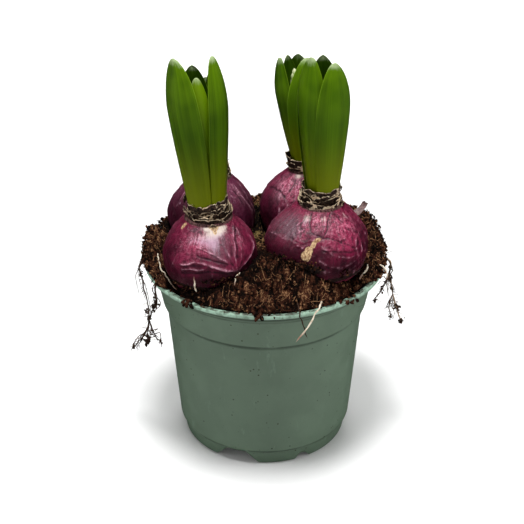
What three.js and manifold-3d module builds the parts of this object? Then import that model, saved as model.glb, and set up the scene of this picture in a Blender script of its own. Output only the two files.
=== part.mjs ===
// A round nursery pot of peat with four sprouting hyacinth bulbs.
// Millimetres, +Z up. The origin is on the ground at the pot's axis, -Y is the front and +X the right.
// Azimuths are in degrees round a vertical axis: 0 faces the front, 90 the right, 180 the back.
import * as THREE from "three";
import { mergeVertices } from "three/addons/utils/BufferGeometryUtils.js";
import Module from "manifold-3d";

const wasm = await Module();
wasm.setup();

// Driving dimensions of the pot
const POT_RADIUS = 70;
const POT_HEIGHT = 114.6;
const POT_WALL = 1.3;
const POT_SEGMENTS = 40;
const COLLAR_RADIUS = 64.6;
const COLLAR_FOOT = 87.9;
const BODY_RADIUS_TOP = 58.2;
const BODY_RADIUS_FOOT = 52.1;
const FOOT_RADIUS = 49.2;
const FOOT_HEIGHT = 8.8;
const FLOOR_THICKNESS = 1.6;
const FLOOR_TOP = FOOT_HEIGHT + FLOOR_THICKNESS;
const DRAIN = { count: 6, radius: 4, from_axis: 37, segments: 12 };
const NOTCHES = [
  { azimuths: [-20, 100, 220], height: 8, top: 10.4, bottom: 27 },
  { azimuths: [27, 147, 267], height: 3.6, top: 3, bottom: 9.6 },
];

// Clearances between neighbouring pieces
const GAP = 0.35;
const SOIL_GAP = 0.45;
const SLIVER = 0.04;

// Bulbs: centre and radius of the widest girth. The neck has a top, a radius and a sideways shift. Loose skin
// makes each bulb stand out on one side: the bulge has an azimuth, a tilt above the girth and a rise.
const BASAL_RADIUS = 12;
const BASAL_DROP = 22;
const SOCKET_DEPTH = 3;
const SHOULDER = 2.2;
const FOLD_RELIEF = 0.45;
const DENT_RELIEF = 0.35;
const BULB_COLUMNS = 20;
const BULB_ROWS_BELOW = 4;
const BULB_ROWS_ABOVE = 6;
const BULGE_WIDTH = 32;
const BULGE_TALL = 24;
const BULBS = [
  {
    name: "front_left", x: -30.9, y: -29, z: 131.5, radius: 26.7,
    neck: { top: 155, radius: 13.2, shift: 0 }, bulge: { azimuth: 62, tilt: 8, rise: 0.6 },
  },
  {
    name: "front_right", x: 29.6, y: -27, z: 136.1, radius: 28.2,
    neck: { top: 162.5, radius: 12, shift: 1 }, bulge: { azimuth: -76, tilt: 17, rise: 3.2 },
  },
  {
    name: "back_left", x: -31.4, y: 28, z: 127.3, radius: 26,
    neck: { top: 153.5, radius: 11, shift: 0.7 }, bulge: { azimuth: -100, tilt: 10, rise: 1 },
  },
  {
    name: "back_right", x: 19.6, y: 27, z: 131.8, radius: 23.2,
    neck: { top: 158.4, radius: 8.9, shift: 3.3 }, bulge: { azimuth: 130, tilt: 20, rise: 1 },
  },
];

// Shoots: height above the foot, radius at the foot and at the widest, sideways lean per unit of height,
// height of the dry collar round the foot and the top of the flower bud inside.
// A leaf's level says how far in it lies: 0 is outermost. Its centre swings by drift towards its tip, and the
// blunter its tip, the longer its edges stay parallel.
const SHOOTS = {
  front_left: {
    height: 94.6, foot: 9.3, widest: 16.3, lean: -0.066, collar: 12, bud: 66,
    leaves: [
      { name: "left", level: 0, azimuth: -40, spread: 55, drift: -14, height: 93.8, blunt: 11 },
      { name: "right", level: 0, azimuth: 60, spread: 39, drift: 4, height: 94.6, blunt: 8 },
      { name: "inner", level: 1, azimuth: 4, spread: 34, drift: 4, height: 85, blunt: 5 },
      { name: "back", level: 1, azimuth: -170, spread: 52, drift: 0, height: 84.2, blunt: 4 },
      { name: "back_right", level: 0, azimuth: 139, spread: 37, drift: 0, height: 82, blunt: 5 },
      { name: "back_left", level: 0, azimuth: -142, spread: 33, drift: 0, height: 82, blunt: 5 },
    ],
  },
  front_right: {
    height: 86.1, foot: 8.4, widest: 15.7, lean: -0.02, collar: 10.5, bud: 59.5,
    leaves: [
      { name: "right", level: 0, azimuth: 43, spread: 57, drift: -10, height: 84.3, blunt: 4.2 },
      { name: "left", level: 1, azimuth: -50, spread: 58, drift: 8, height: 86.1, blunt: 7 },
      { name: "back", level: 1, azimuth: 152, spread: 54, drift: 20, height: 82.2, blunt: 5 },
      { name: "back_left", level: 0, azimuth: -146, spread: 30, drift: 0, height: 73.5, blunt: 5 },
    ],
  },
  back_left: {
    height: 63, foot: 9.2, widest: 12.6, lean: -0.11, collar: 8.5, bud: 50,
    leaves: [
      { name: "left", level: 0, azimuth: -72, spread: 56, drift: 0, height: 61, blunt: 6 },
      { name: "right", level: 0, azimuth: 48, spread: 58, drift: 0, height: 63, blunt: 6 },
      { name: "back", level: 0, azimuth: 160, spread: 48, drift: 0, height: 59, blunt: 6 },
      { name: "inner", level: 1, azimuth: -150, spread: 48, drift: 0, height: 56, blunt: 5 },
    ],
  },
  back_right: {
    height: 71.6, foot: 7.4, widest: 15, lean: -0.1, collar: 8, bud: 63,
    leaves: [
      { name: "left", level: 1, azimuth: -71, spread: 60, drift: 0, height: 70.2, blunt: 6 },
      { name: "right", level: 0, azimuth: 40, spread: 70, drift: 5, height: 71.6, blunt: 5 },
      { name: "back", level: 0, azimuth: 158, spread: 44, drift: 8, height: 67.6, blunt: 5 },
      { name: "inner", level: 1, azimuth: -174, spread: 33, drift: 16, height: 68.1, blunt: 5 },
    ],
  },
};
const WIDEST_AT = 0.7;
const TIP_PINCH = 0.26;
const LEAF_ROWS = 9;
const LEAF_COLUMN_ANGLE = 22;
const LEAF_THICKNESS = { foot: 1.5, widest: 1.9 };
const LEAF_LEVEL_STEP = { foot: 2.2, widest: 2.9 };

// Soil: radius and height of the mound, and its heaps: place, reach and rise
const SOIL_REACH = 69.4;
const SOIL_EDGE = 113.4;
const SOIL_CROWN = 6.5;
const SOIL_HEAPS = [
  { x: -65, y: 12, reach: 8, rise: 8 },
  { x: -66, y: -7, reach: 9, rise: 4 },
  { x: -58, y: 36, reach: 12, rise: 3 },
  { x: 62, y: 30, reach: 15, rise: 8.5 },
  { x: 65, y: 0, reach: 12, rise: 5 },
  { x: 0, y: 56, reach: 24, rise: 6 },
  { x: 46, y: 48, reach: 14, rise: 6 },
  { x: 0, y: -20, reach: 16, rise: 2.5 },
  { x: -30, y: -44.5, reach: 11, rise: 10 },
  { x: 0, y: -38, reach: 17, rise: 10 },
  { x: 27.5, y: -44, reach: 12, rise: 11 },
];

const COLOURS = {
  pot: { color: 0x5c7262, roughness: 0.55, metalness: 0 },
  soil: { color: 0x38241a, roughness: 0.95, metalness: 0 },
  bulb: { color: 0x6b1f47, roughness: 0.38, metalness: 0 },
  scales: { color: 0x8a7358, roughness: 0.85, metalness: 0 },
  leaf: { color: 0x4a7a0a, roughness: 0.4, metalness: 0 },
  bud: { color: 0xb9c98a, roughness: 0.5, metalness: 0 },
  root: { color: 0xd9c9ad, roughness: 0.6, metalness: 0 },
  dark_root: { color: 0x5a3d2b, roughness: 0.8, metalness: 0 },
  flap: { color: 0x6d4048, roughness: 0.6, metalness: 0 },
};

const group = new THREE.Group();

function add(name, geometry, look) {
  const mesh = new THREE.Mesh(geometry, new THREE.MeshStandardMaterial(COLOURS[look]));
  mesh.name = name;
  group.add(mesh);
}

// Point at an azimuth and a radius round a vertical axis through x, y
function polar(azimuth, radius, z, x = 0, y = 0) {
  const angle = THREE.MathUtils.degToRad(azimuth);
  return new THREE.Vector3(x + radius * Math.sin(angle), y - radius * Math.cos(angle), z);
}

function signedVolume(positions, faces) {
  const [a, b, c] = [new THREE.Vector3(), new THREE.Vector3(), new THREE.Vector3()];
  let volume = 0;
  for (let i = 0; i < faces.length; i += 3) {
    a.fromArray(positions, 3 * faces[i]);
    b.fromArray(positions, 3 * faces[i + 1]);
    c.fromArray(positions, 3 * faces[i + 2]);
    volume += a.dot(b.cross(c)) / 6;
  }
  return volume;
}

// Closed body from points and triangles, turned so that its faces point out
function closedBody(points, faces) {
  const positions = points.flatMap((point) => point.toArray());
  const outward = signedVolume(positions, faces) > 0 ? faces : faces.toReversed();
  const geometry = new THREE.BufferGeometry();
  geometry.setAttribute("position", new THREE.Float32BufferAttribute(positions, 3));
  geometry.setIndex(outward);
  return geometry;
}

function quad(faces, a, b, c, d) {
  faces.push(a, b, c, a, c, d);
}

// Skin over a row of rings with the same number of points, closed at both ends by a fan to a point
function loft(start, rings, end) {
  const around = rings[0].length;
  const points = [...rings.flat(), start, end];
  const faces = [];
  const last = (rings.length - 1) * around;
  for (let i = 0; i < around; i += 1) {
    const next = (i + 1) % around;
    for (let row = 0; row < last; row += around) {
      quad(faces, row + i, row + next, row + around + next, row + around + i);
    }
    faces.push(next, i, points.length - 2);
    faces.push(last + i, last + next, points.length - 1);
  }
  return closedBody(points, faces);
}

// Ring-shaped body: cross-sections, each a closed loop of points, joined one to the next right round
function hoop(sections) {
  const around = sections[0].length;
  const faces = [];
  for (let s = 0; s < sections.length; s += 1) {
    const here = s * around;
    const there = ((s + 1) % sections.length) * around;
    for (let i = 0; i < around; i += 1) {
      const next = (i + 1) % around;
      quad(faces, here + i, here + next, there + next, there + i);
    }
  }
  return closedBody(sections.flat(), faces);
}

function toSolid(geometry) {
  const bare = geometry.clone();
  bare.deleteAttribute("normal");
  bare.deleteAttribute("uv");
  const merged = mergeVertices(bare, 1e-4);
  return new wasm.Manifold(
    new wasm.Mesh({
      numProp: 3,
      vertProperties: new Float32Array(merged.attributes.position.array),
      triVerts: new Uint32Array(merged.index.array),
    }),
  );
}

// Largest body of a solid as geometry: scraps cut loose by a boolean and slivers along its seams are dropped
function toGeometry(solid) {
  const bodies = solid.asOriginal().simplify(SLIVER).decompose();
  bodies.sort((a, b) => b.volume() - a.volume());
  const mesh = bodies[0].getMesh();
  const geometry = new THREE.BufferGeometry();
  geometry.setAttribute("position", new THREE.BufferAttribute(mesh.vertProperties, 3));
  geometry.setIndex(new THREE.BufferAttribute(mesh.triVerts, 1));
  return geometry;
}

// Repeatable random numbers from 0 to 1
function seeded(seed) {
  let state = seed * 7919 + 17;
  return () => {
    state = (state * 1664525 + 1013904223) % 4294967296;
    return state / 4294967296;
  };
}

// Smooth ripple round a circle: a few sines with seeded phases, between about -1 and 1
function ripple(seed, waves) {
  const random = seeded(seed);
  const phases = waves.map(() => random() * 2 * Math.PI);
  return (azimuth) => {
    const angle = THREE.MathUtils.degToRad(azimuth);
    const sum = waves.reduce((total, wave, i) => total + Math.sin(wave * angle + phases[i]), 0);
    return sum / Math.sqrt(waves.length);
  };
}

function circle(count, makePoint) {
  return Array.from({ length: count }, (_, i) => makePoint((360 * i) / count));
}

// Pot outline from the underside's centre, out over foot, body, collar and lip, and back in
function potOutline() {
  const outline = [
    [0, FOOT_HEIGHT],
    [FOOT_RADIUS - 1.4, FOOT_HEIGHT],
    [FOOT_RADIUS - 1.8, 0],
    [FOOT_RADIUS, 0],
    [FOOT_RADIUS + 1, FOOT_HEIGHT - 0.2],
    [BODY_RADIUS_FOOT - 0.5, FOOT_HEIGHT + 0.4],
    [BODY_RADIUS_FOOT, FLOOR_TOP],
    [BODY_RADIUS_TOP, COLLAR_FOOT - 1.1],
    [BODY_RADIUS_TOP + 2, COLLAR_FOOT],
    [COLLAR_RADIUS - 1, 106],
    [COLLAR_RADIUS, 110.6],
    [POT_RADIUS - 0.4, POT_HEIGHT - 2],
    [POT_RADIUS, POT_HEIGHT - 1.5],
    [POT_RADIUS, POT_HEIGHT - 0.7],
    [POT_RADIUS - 0.5, POT_HEIGHT],
    [POT_RADIUS - 2.6, POT_HEIGHT],
    [POT_RADIUS - 3.8, POT_HEIGHT - 2],
    [COLLAR_RADIUS - POT_WALL, 110.6],
    [BODY_RADIUS_TOP + 2 - POT_WALL, COLLAR_FOOT + 0.7],
    [BODY_RADIUS_TOP - POT_WALL, COLLAR_FOOT - 1.3],
    [BODY_RADIUS_FOOT - POT_WALL, FLOOR_TOP + 1.4],
    [BODY_RADIUS_FOOT - POT_WALL - 1.4, FLOOR_TOP],
    [0, FLOOR_TOP],
  ];
  return outline.map(([radius, z]) => new THREE.Vector2(radius, z));
}

// Space inside the pot that the soil may fill, up over the lip
function cavityOutline() {
  const rim = POT_HEIGHT + SOIL_GAP;
  const outline = [
    [0, FLOOR_TOP + SOIL_GAP],
    [BODY_RADIUS_FOOT - POT_WALL - 2, FLOOR_TOP + SOIL_GAP],
    [BODY_RADIUS_FOOT - POT_WALL - SOIL_GAP, FLOOR_TOP + 2],
    [BODY_RADIUS_TOP - POT_WALL - SOIL_GAP, COLLAR_FOOT - 1],
    [BODY_RADIUS_TOP + 2 - POT_WALL - SOIL_GAP, COLLAR_FOOT + 1],
    [COLLAR_RADIUS - POT_WALL - SOIL_GAP, 110.8],
    [POT_RADIUS - 3.8 - SOIL_GAP, POT_HEIGHT - 1.6],
    [POT_RADIUS - 2.6 - SOIL_GAP, rim],
    [POT_RADIUS + 10, rim],
    [POT_RADIUS + 10, 2 * POT_HEIGHT],
    [0, 2 * POT_HEIGHT],
  ];
  return outline.map(([radius, z]) => new THREE.Vector2(radius, z));
}

// Solid of revolution: the outline turns about the Z axis
function turned(outline) {
  return toSolid(new THREE.LatheGeometry(outline, POT_SEGMENTS).rotateX(Math.PI / 2));
}

function notchCutter(notch, azimuth) {
  const below = -1;
  const slope = (notch.bottom - notch.top) / 2 / notch.height;
  const shape = new THREE.Shape([
    new THREE.Vector2(-notch.bottom / 2 + slope * below, below),
    new THREE.Vector2(notch.bottom / 2 - slope * below, below),
    new THREE.Vector2(notch.top / 2, notch.height),
    new THREE.Vector2(-notch.top / 2, notch.height),
  ]);
  const depth = 16;
  const cutter = new THREE.ExtrudeGeometry(shape, { depth, bevelEnabled: false });
  cutter.translate(0, 0, FOOT_RADIUS - depth / 2);
  cutter.rotateX(Math.PI / 2);
  cutter.rotateZ(THREE.MathUtils.degToRad(azimuth));
  return toSolid(cutter);
}

function drainCutter(azimuth) {
  const cutter = new THREE.CylinderGeometry(DRAIN.radius, DRAIN.radius, 4 * FLOOR_THICKNESS, DRAIN.segments);
  cutter.rotateX(Math.PI / 2);
  const place = polar(azimuth, DRAIN.from_axis, FOOT_HEIGHT + FLOOR_THICKNESS / 2);
  return toSolid(cutter.translate(...place));
}

function potGeometry() {
  let pot = turned(potOutline());
  for (const notch of NOTCHES) {
    for (const azimuth of notch.azimuths) {
      pot = pot.subtract(notchCutter(notch, azimuth));
    }
  }
  for (let i = 0; i < DRAIN.count; i += 1) {
    pot = pot.subtract(drainCutter((360 * (i + 0.5)) / DRAIN.count));
  }
  return toGeometry(pot);
}

// How far a bulb's bulge stands out at an azimuth and a tilt: a bell curve both ways
function bulgeRise(bulge, azimuth, tilt) {
  const across = ((((azimuth - bulge.azimuth + 180) % 360) + 360) % 360) - 180;
  const up = THREE.MathUtils.radToDeg(tilt) - bulge.tilt;
  return bulge.rise * Math.exp(-((across / BULGE_WIDTH) ** 2) - (up / BULGE_TALL) ** 2);
}

// Bulb outline as rings. Below the girth it is part of an ellipse that ends at the basal plate, and above it
// the shoulders run in to the neck. Shallow folds run from plate to neck.
function bulbRings(bulb, grow) {
  const plateTilt = -Math.acos(BASAL_RADIUS / bulb.radius);
  const drop = BASAL_DROP / Math.sin(-plateTilt);
  const rise = bulb.neck.top - 1 - bulb.z;
  const folds = ripple(bulb.x, [2, 3, 5]);
  const dents = ripple(bulb.y + 50, [4, 7]);
  const tilts = [];
  for (let row = 0; row < BULB_ROWS_BELOW; row += 1) {
    tilts.push(plateTilt * (1 - row / BULB_ROWS_BELOW));
  }
  for (let row = 0; row <= BULB_ROWS_ABOVE; row += 1) {
    tilts.push((Math.PI / 2) * (row / BULB_ROWS_ABOVE) ** 0.85);
  }
  return tilts.map((tilt) => {
    const above = Math.max(0, Math.sin(tilt));
    const height = tilt < 0 ? drop * Math.sin(tilt) : rise * above;
    const shoulder = bulb.neck.radius + (bulb.radius - bulb.neck.radius) * Math.cos(tilt) ** SHOULDER;
    const smooth = tilt < 0 ? bulb.radius * Math.cos(tilt) : shoulder;
    const fade = Math.cos(tilt) ** 2;
    return circle(BULB_COLUMNS, (azimuth) => {
      const relief = FOLD_RELIEF * folds(azimuth) + DENT_RELIEF * dents(azimuth + 1.2 * height);
      const radius = smooth + relief * fade + bulgeRise(bulb.bulge, azimuth, tilt) + grow;
      const z = bulb.z + height + grow * Math.sin(tilt);
      return polar(azimuth, radius, z, bulb.x + bulb.neck.shift * above ** 2, bulb.y);
    });
  });
}

function neckCentre(bulb) {
  return bulb.x + bulb.neck.shift;
}

// Radius of a neck's socket, clear of the leaning shoot in it
function socketRadius(shoot) {
  return shootRadius(shoot, SOCKET_DEPTH) + Math.abs(shoot.lean) * SOCKET_DEPTH + GAP;
}

// Bulb with a flat plate below and, in the neck's top, the socket that the leaves' feet stand in
function bulbGeometry(bulb, shoot) {
  const rings = bulbRings(bulb, 0);
  const neck = neckCentre(bulb);
  const ring = (radius, z) => circle(BULB_COLUMNS, (azimuth) => polar(azimuth, radius, z, neck, bulb.y));
  const socket = socketRadius(shoot);
  rings.push(ring(bulb.neck.radius - 0.1, bulb.neck.top));
  rings.push(ring(socket, bulb.neck.top));
  rings.push(ring(socket, bulb.neck.top - SOCKET_DEPTH));
  const plate = polar(0, 0, bulb.z - BASAL_DROP, bulb.x, bulb.y);
  return loft(plate, rings, polar(0, 0, bulb.neck.top - SOCKET_DEPTH, neck, bulb.y));
}

// The same bulb without its socket, larger by a clearance
function bulbRoom(bulb) {
  const rings = bulbRings(bulb, SOIL_GAP);
  const plate = polar(0, 0, bulb.z - BASAL_DROP - SOIL_GAP, bulb.x, bulb.y);
  return toSolid(loft(plate, rings, polar(0, 0, bulb.neck.top + 1, neckCentre(bulb), bulb.y)));
}

// Share of the way from foot radius to widest radius, for a height given as a share of the shoot's
function swelling(share) {
  if (share < WIDEST_AT) {
    return 1 - (1 - share / WIDEST_AT) ** 1.25;
  }
  return 1;
}

function shootRadius(shoot, height) {
  const share = height / shoot.height;
  const radius = shoot.foot + (shoot.widest - shoot.foot) * swelling(share);
  const pinch = Math.max(0, (share - WIDEST_AT) / (1 - WIDEST_AT));
  return radius * (1 - TIP_PINCH * pinch ** 2);
}

function shootPoint(bulb, shoot, azimuth, radius, height) {
  const foot = bulb.neck.top - SOCKET_DEPTH + GAP;
  return polar(azimuth, radius, foot + height, neckCentre(bulb) + shoot.lean * height, bulb.y);
}

// Leaf: a blade curved round the shoot, thick in the middle, ending in a blunt hooded tip
function leafGeometry(bulb, shoot, leaf) {
  const columns = Math.max(4, Math.ceil((2 * leaf.spread) / LEAF_COLUMN_ANGLE));
  const rings = [];
  for (let row = 0; row < LEAF_ROWS; row += 1) {
    const along = 1 - (1 - row / LEAF_ROWS) ** 1.8;
    rings.push(leafSection(bulb, shoot, leaf, along, columns));
  }
  const foot = middle(rings[0]);
  const tipRadius = leafRadius(shoot, leaf, leaf.height) - 1;
  const tip = shootPoint(bulb, shoot, leaf.azimuth + leaf.drift, tipRadius, leaf.height);
  return loft(foot, rings, tip);
}

// Point inside a thin curved section, halfway between the middles of its two faces
function middle(ring) {
  const half = ring.length / 2;
  const outer = ring[Math.floor((half - 1) / 2)];
  const inner = ring[ring.length - 1 - Math.floor((half - 1) / 2)];
  return outer.clone().lerp(inner, 0.5);
}

// Value that grows from the shoot's foot to where it is widest
function grown(range, shoot, height) {
  return THREE.MathUtils.lerp(range.foot, range.widest, swelling(height / shoot.height));
}

function leafRadius(shoot, leaf, height) {
  const step = grown(LEAF_LEVEL_STEP, shoot, height);
  return shootRadius(shoot, height) - leaf.level * step;
}

// Section across a leaf: along the outer face from edge to edge, then back along the inner face
function leafSection(bulb, shoot, leaf, along, columns) {
  const height = along * leaf.height;
  const radius = leafRadius(shoot, leaf, height);
  const halfWidth = leaf.spread * Math.sqrt(1 - along ** leaf.blunt);
  const centre = leaf.azimuth + leaf.drift * along ** 2;
  const thickness = grown(LEAF_THICKNESS, shoot, height);
  const outer = [];
  const inner = [];
  for (let i = 0; i <= columns; i += 1) {
    const across = (2 * i) / columns - 1;
    const azimuth = centre + halfWidth * across;
    const depth = thickness * (1 - 0.45 * across ** 2);
    const rim = 0.35 * across ** 4;
    outer.push(shootPoint(bulb, shoot, azimuth, radius - rim, height));
    inner.unshift(shootPoint(bulb, shoot, azimuth, radius - rim - depth, height));
  }
  return [...outer, ...inner];
}

// Ragged dry scales round the neck: a torn sleeve about as wide as the neck, with a second torn row round it
function scalesGeometry(bulb, shoot) {
  const columns = 32;
  const tear = ripple(bulb.z, [5, 9, 13]);
  const flare = ripple(bulb.z + 9, [4, 7, 11]);
  const foot = bulb.neck.top + GAP;
  const lowest = SOCKET_DEPTH - GAP;
  const sections = circle(columns, (azimuth) => {
    const top = shoot.collar * (0.82 + 0.16 * tear(azimuth));
    const lift = shoot.collar * (0.42 + 0.1 * flare(azimuth));
    const spread = 0.9 + 0.3 * flare(azimuth + 20);
    const inside = shootRadius(shoot, lowest + top) + GAP;
    const rim = Math.max(inside + 0.9, bulb.neck.radius - 0.6);
    const at = (radius, height) => {
      const shift = shoot.lean * (lowest + height);
      return polar(azimuth, radius, foot + height, neckCentre(bulb) + shift, bulb.y);
    };
    return [
      at(inside, 0),
      at(inside + 0.1, top - 0.4),
      at(rim + 0.4 * tear(azimuth + 30), top),
      at(rim + 0.2, lift + 0.8),
      at(rim + spread, lift),
      at(Math.max(bulb.neck.radius + 0.6, inside + 0.8), 0),
    ];
  });
  return hoop(sections);
}

// Flower spike in the middle of a shoot: a stem with closed florets set round it in spirals
function budGeometry(bulb, shoot) {
  const columns = 12;
  const rows = 13;
  const stem = 2.8;
  const fullest = Math.min(5.2, shoot.widest - 7.2);
  const headFrom = 0.4;
  const rings = [];
  for (let row = 0; row < rows; row += 1) {
    const along = row / rows;
    const head = Math.max(0, (along - headFrom) / (1 - headFrom));
    const plump = head > 0 ? Math.sin(Math.PI * Math.min(1, 0.3 + 0.62 * head)) : 0;
    rings.push(
      circle(columns, (azimuth) => {
        const spiral = THREE.MathUtils.degToRad(azimuth);
        const floret = Math.cos(3 * spiral + row * 1.57) * (head > 0 ? 0.12 : 0);
        const radius = stem + (fullest * (1 + floret) - stem) * plump * (1 - head ** 6);
        const taper = head > 0.75 ? 1 - (head - 0.75) * 1.9 : 1;
        return shootPoint(bulb, shoot, azimuth, radius * taper, along * shoot.bud);
      }),
    );
  }
  return loft(shootPoint(bulb, shoot, 0, 0, 0), rings, shootPoint(bulb, shoot, 0, 0, shoot.bud));
}

// Smooth height of the soil's top over a place
function soilHeight(x, y) {
  const radius = Math.hypot(x, y);
  let height = SOIL_EDGE + SOIL_CROWN * (1 - (radius / SOIL_REACH) ** 3);
  for (const heap of SOIL_HEAPS) {
    const away = Math.hypot(x - heap.x, y - heap.y) / heap.reach;
    height += heap.rise * Math.exp(-(away ** 2));
  }
  return height;
}

// Lumps of the soil's top
function soilLumps(x, y) {
  const slow = Math.sin(0.31 * x + 1.3) * Math.sin(0.27 * y + 0.4);
  const quick = Math.sin(0.63 * x + 0.5 * y) * Math.sin(0.71 * y - 0.34 * x + 2);
  return 0.8 * slow + 0.7 * quick;
}

function soilMound() {
  const radii = [SOIL_REACH, 66.5, 62, 56, 49, 41, 33, 24, 14];
  const rings = [circle(POT_SEGMENTS, (azimuth) => polar(azimuth, SOIL_REACH, 0))];
  for (const radius of radii) {
    rings.push(
      circle(POT_SEGMENTS, (azimuth) => {
        const flat = polar(azimuth, radius, 0);
        const height = soilHeight(flat.x, flat.y) + soilLumps(flat.x, flat.y);
        return flat.setZ(height);
      }),
    );
  }
  return toSolid(loft(polar(0, 0, 0), rings, polar(0, 0, soilHeight(0, 0))));
}

// Round strand along points of x, y, z and thickness, tapering to its ends
function strand(points, grow = 0, sides = 5) {
  const path = new THREE.CatmullRomCurve3(points.map(([x, y, z]) => new THREE.Vector3(x, y, z)));
  const steps = Math.ceil(1.6 * (points.length - 1));
  const rings = [];
  for (let i = 0; i <= steps; i += 1) {
    const place = i / steps;
    const at = Math.min(points.length - 2, Math.floor(place * (points.length - 1)));
    const part = place * (points.length - 1) - at;
    const radius = THREE.MathUtils.lerp(points[at][3], points[at + 1][3], part) + grow;
    const centre = path.getPoint(place);
    const frame = new THREE.Quaternion().setFromUnitVectors(
      new THREE.Vector3(0, 0, 1),
      path.getTangent(place),
    );
    rings.push(
      circle(sides, (azimuth) => polar(azimuth, radius, 0).applyQuaternion(frame).add(centre)),
    );
  }
  return toSolid(loft(path.getPoint(0), rings, path.getPoint(1)));
}

// Roots, each a list of strands that run together. A strand's points are x, y, z and radius.
const ROOTS = {
  roots_left: {
    look: "dark_root",
    strands: [
      [[-60, -1, 116, 0.8], [-66.5, -7, 118.6, 0.8], [-71.8, -14, 116.2, 0.8], [-70.6, -19, 109, 0.7],
        [-67.8, -26, 99, 0.7], [-66.6, -28, 88, 0.8], [-68.2, -26, 75, 0.6]],
      [[-57, -31.5, 114.5, 0.7], [-59.7, -36, 117.2, 0.7], [-61.3, -38.6, 113, 0.7], [-61, -38.5, 105, 0.8],
        [-64, -33, 96, 0.7], [-66.6, -28, 86, 0.8]],
      [[-66.8, -27.6, 84, 0.6], [-70, -20, 73, 0.6], [-75, -14, 63, 0.5], [-79, -12, 57, 0.5]],
      [[-66.7, -28, 87, 0.6], [-63.5, -33, 80, 0.5], [-59, -40, 79, 0.5]],
      [[-68, -26.4, 77, 1.3], [-68.8, -24, 70, 1.5], [-69.5, -23, 67, 0.9]],
      [[-61.2, -38.4, 106, 1.2], [-62, -37, 101.5, 1.7], [-63, -35, 97.5, 0.9]],
    ],
  },
  roots_right: {
    look: "dark_root",
    strands: [
      [[58, -5, 116.5, 0.8], [65, -8, 118.4, 0.8], [72, -11, 115.5, 0.8], [72.6, -10, 105, 0.8],
        [74.6, -9.5, 95, 0.7], [77, -10, 86, 0.8], [79, -11, 79, 0.6], [81.2, -12, 75, 0.6]],
      [[72.4, -10.6, 111, 0.7], [70.4, -17.5, 107.5, 0.7], [66.6, -28, 108, 0.6], [61, -38.4, 105.5, 0.5]],
      [[75, -9.6, 94, 0.5], [73, -12, 87, 0.5], [74, -14, 80, 0.5]],
      [[76.4, -9.9, 88.4, 1.1], [77.6, -10.4, 84.4, 1.6], [78.4, -10.8, 81.4, 0.9]],
    ],
  },
  root_right_white: {
    look: "root",
    strands: [
      [[60.5, -15.5, 117.5, 0.9], [65.5, -20, 118.4, 0.9], [69, -23.4, 115.4, 0.9],
        [69.2, -23.4, 110.8, 0.6]],
    ],
  },
  root_front_white: {
    look: "root",
    strands: [
      [[31, -57, 115.5, 0.7], [30.2, -61, 117.6, 0.9], [28, -66.6, 115.6, 0.9], [22.4, -69.6, 107, 0.8],
        [16.6, -71.2, 99, 0.7]],
    ],
  },
  root_upright_front_left: {
    look: "root",
    strands: [
      [[-36.7, -50.6, 114.5, 0.6], [-37, -52, 118, 0.8], [-37.9, -54.5, 122.5, 0.8],
        [-38.2, -56.1, 127, 0.8], [-38.2, -56.8, 131.5, 0.5]],
    ],
  },
  root_front_brown: {
    look: "dark_root",
    strands: [
      [[16.6, -57, 115.5, 0.5], [17.6, -62.5, 117.4, 0.5], [18.6, -68.9, 114.4, 0.5],
        [20.4, -68, 107.5, 0.5], [23, -67.4, 99, 0.5]],
    ],
  },
};

// White roots that lie half sunk in the soil's top. A point is x, y and radius.
const LYING_ROOTS = {
  root_lying_left: [
    [-61.5, -11, 0.9], [-60.5, -18, 0.9], [-56, -28, 0.9], [-51, -37, 0.8], [-49, -42, 0.7],
  ],
  root_lying_middle: [[-13.5, -49, 0.7], [-15.2, -52, 0.8], [-16.6, -54.6, 0.8]],
  root_lying_right: [[58.5, -19, 1], [57.5, -26, 1.2], [52.5, -36, 1.1]],
};

function lyingStrand(points) {
  return points.map(([x, y, radius]) => [x, y, soilHeight(x, y) + soilLumps(x, y) + 0.2, radius]);
}

function allRoots() {
  const lying = Object.entries(LYING_ROOTS).map(([name, points]) => {
    return { name, look: "root", strands: [lyingStrand(points)] };
  });
  const hanging = Object.entries(ROOTS).map(([name, root]) => ({ name, ...root }));
  return [...lying, ...hanging];
}

function joined(solids) {
  return solids.reduce((whole, solid) => whole.add(solid));
}

function soilGeometry(roots) {
  let soil = soilMound().intersect(turned(cavityOutline()));
  for (const bulb of BULBS) {
    soil = soil.subtract(bulbRoom(bulb));
  }
  for (const root of roots) {
    soil = soil.subtract(joined(root.strands.map((points) => strand(points, GAP))));
  }
  return toGeometry(soil);
}

// Flap of dry skin that stands off the front right bulb's shoulder
function flapGeometry(bulb) {
  const out = new THREE.Vector3(21.4, 17, 9.9).normalize();
  const root = new THREE.Vector3(bulb.x, bulb.y, bulb.z).addScaledVector(out, bulb.radius - 0.1);
  const reach = new THREE.Vector3(6.6, 2, 6);
  const side = new THREE.Vector3(-0.3, 0.9, 0.1).normalize();
  const lift = new THREE.Vector3().crossVectors(reach, side).normalize();
  const rings = [0, 0.25, 0.5, 0.75, 0.95].map((along) => {
    const centre = root.clone().addScaledVector(reach, along);
    centre.addScaledVector(lift, -1.2 * Math.sin(Math.PI * along));
    const width = 2.1 - 1.1 * along;
    const corner = (across, up) => {
      return centre.clone().addScaledVector(side, width * across).addScaledVector(lift, 0.4 * up);
    };
    return [corner(-1, -0.6), corner(0, -1), corner(1, -0.6), corner(1, 0.6), corner(0, 1), corner(-1, 0.6)];
  });
  return loft(root, rings, root.clone().add(reach));
}

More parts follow.
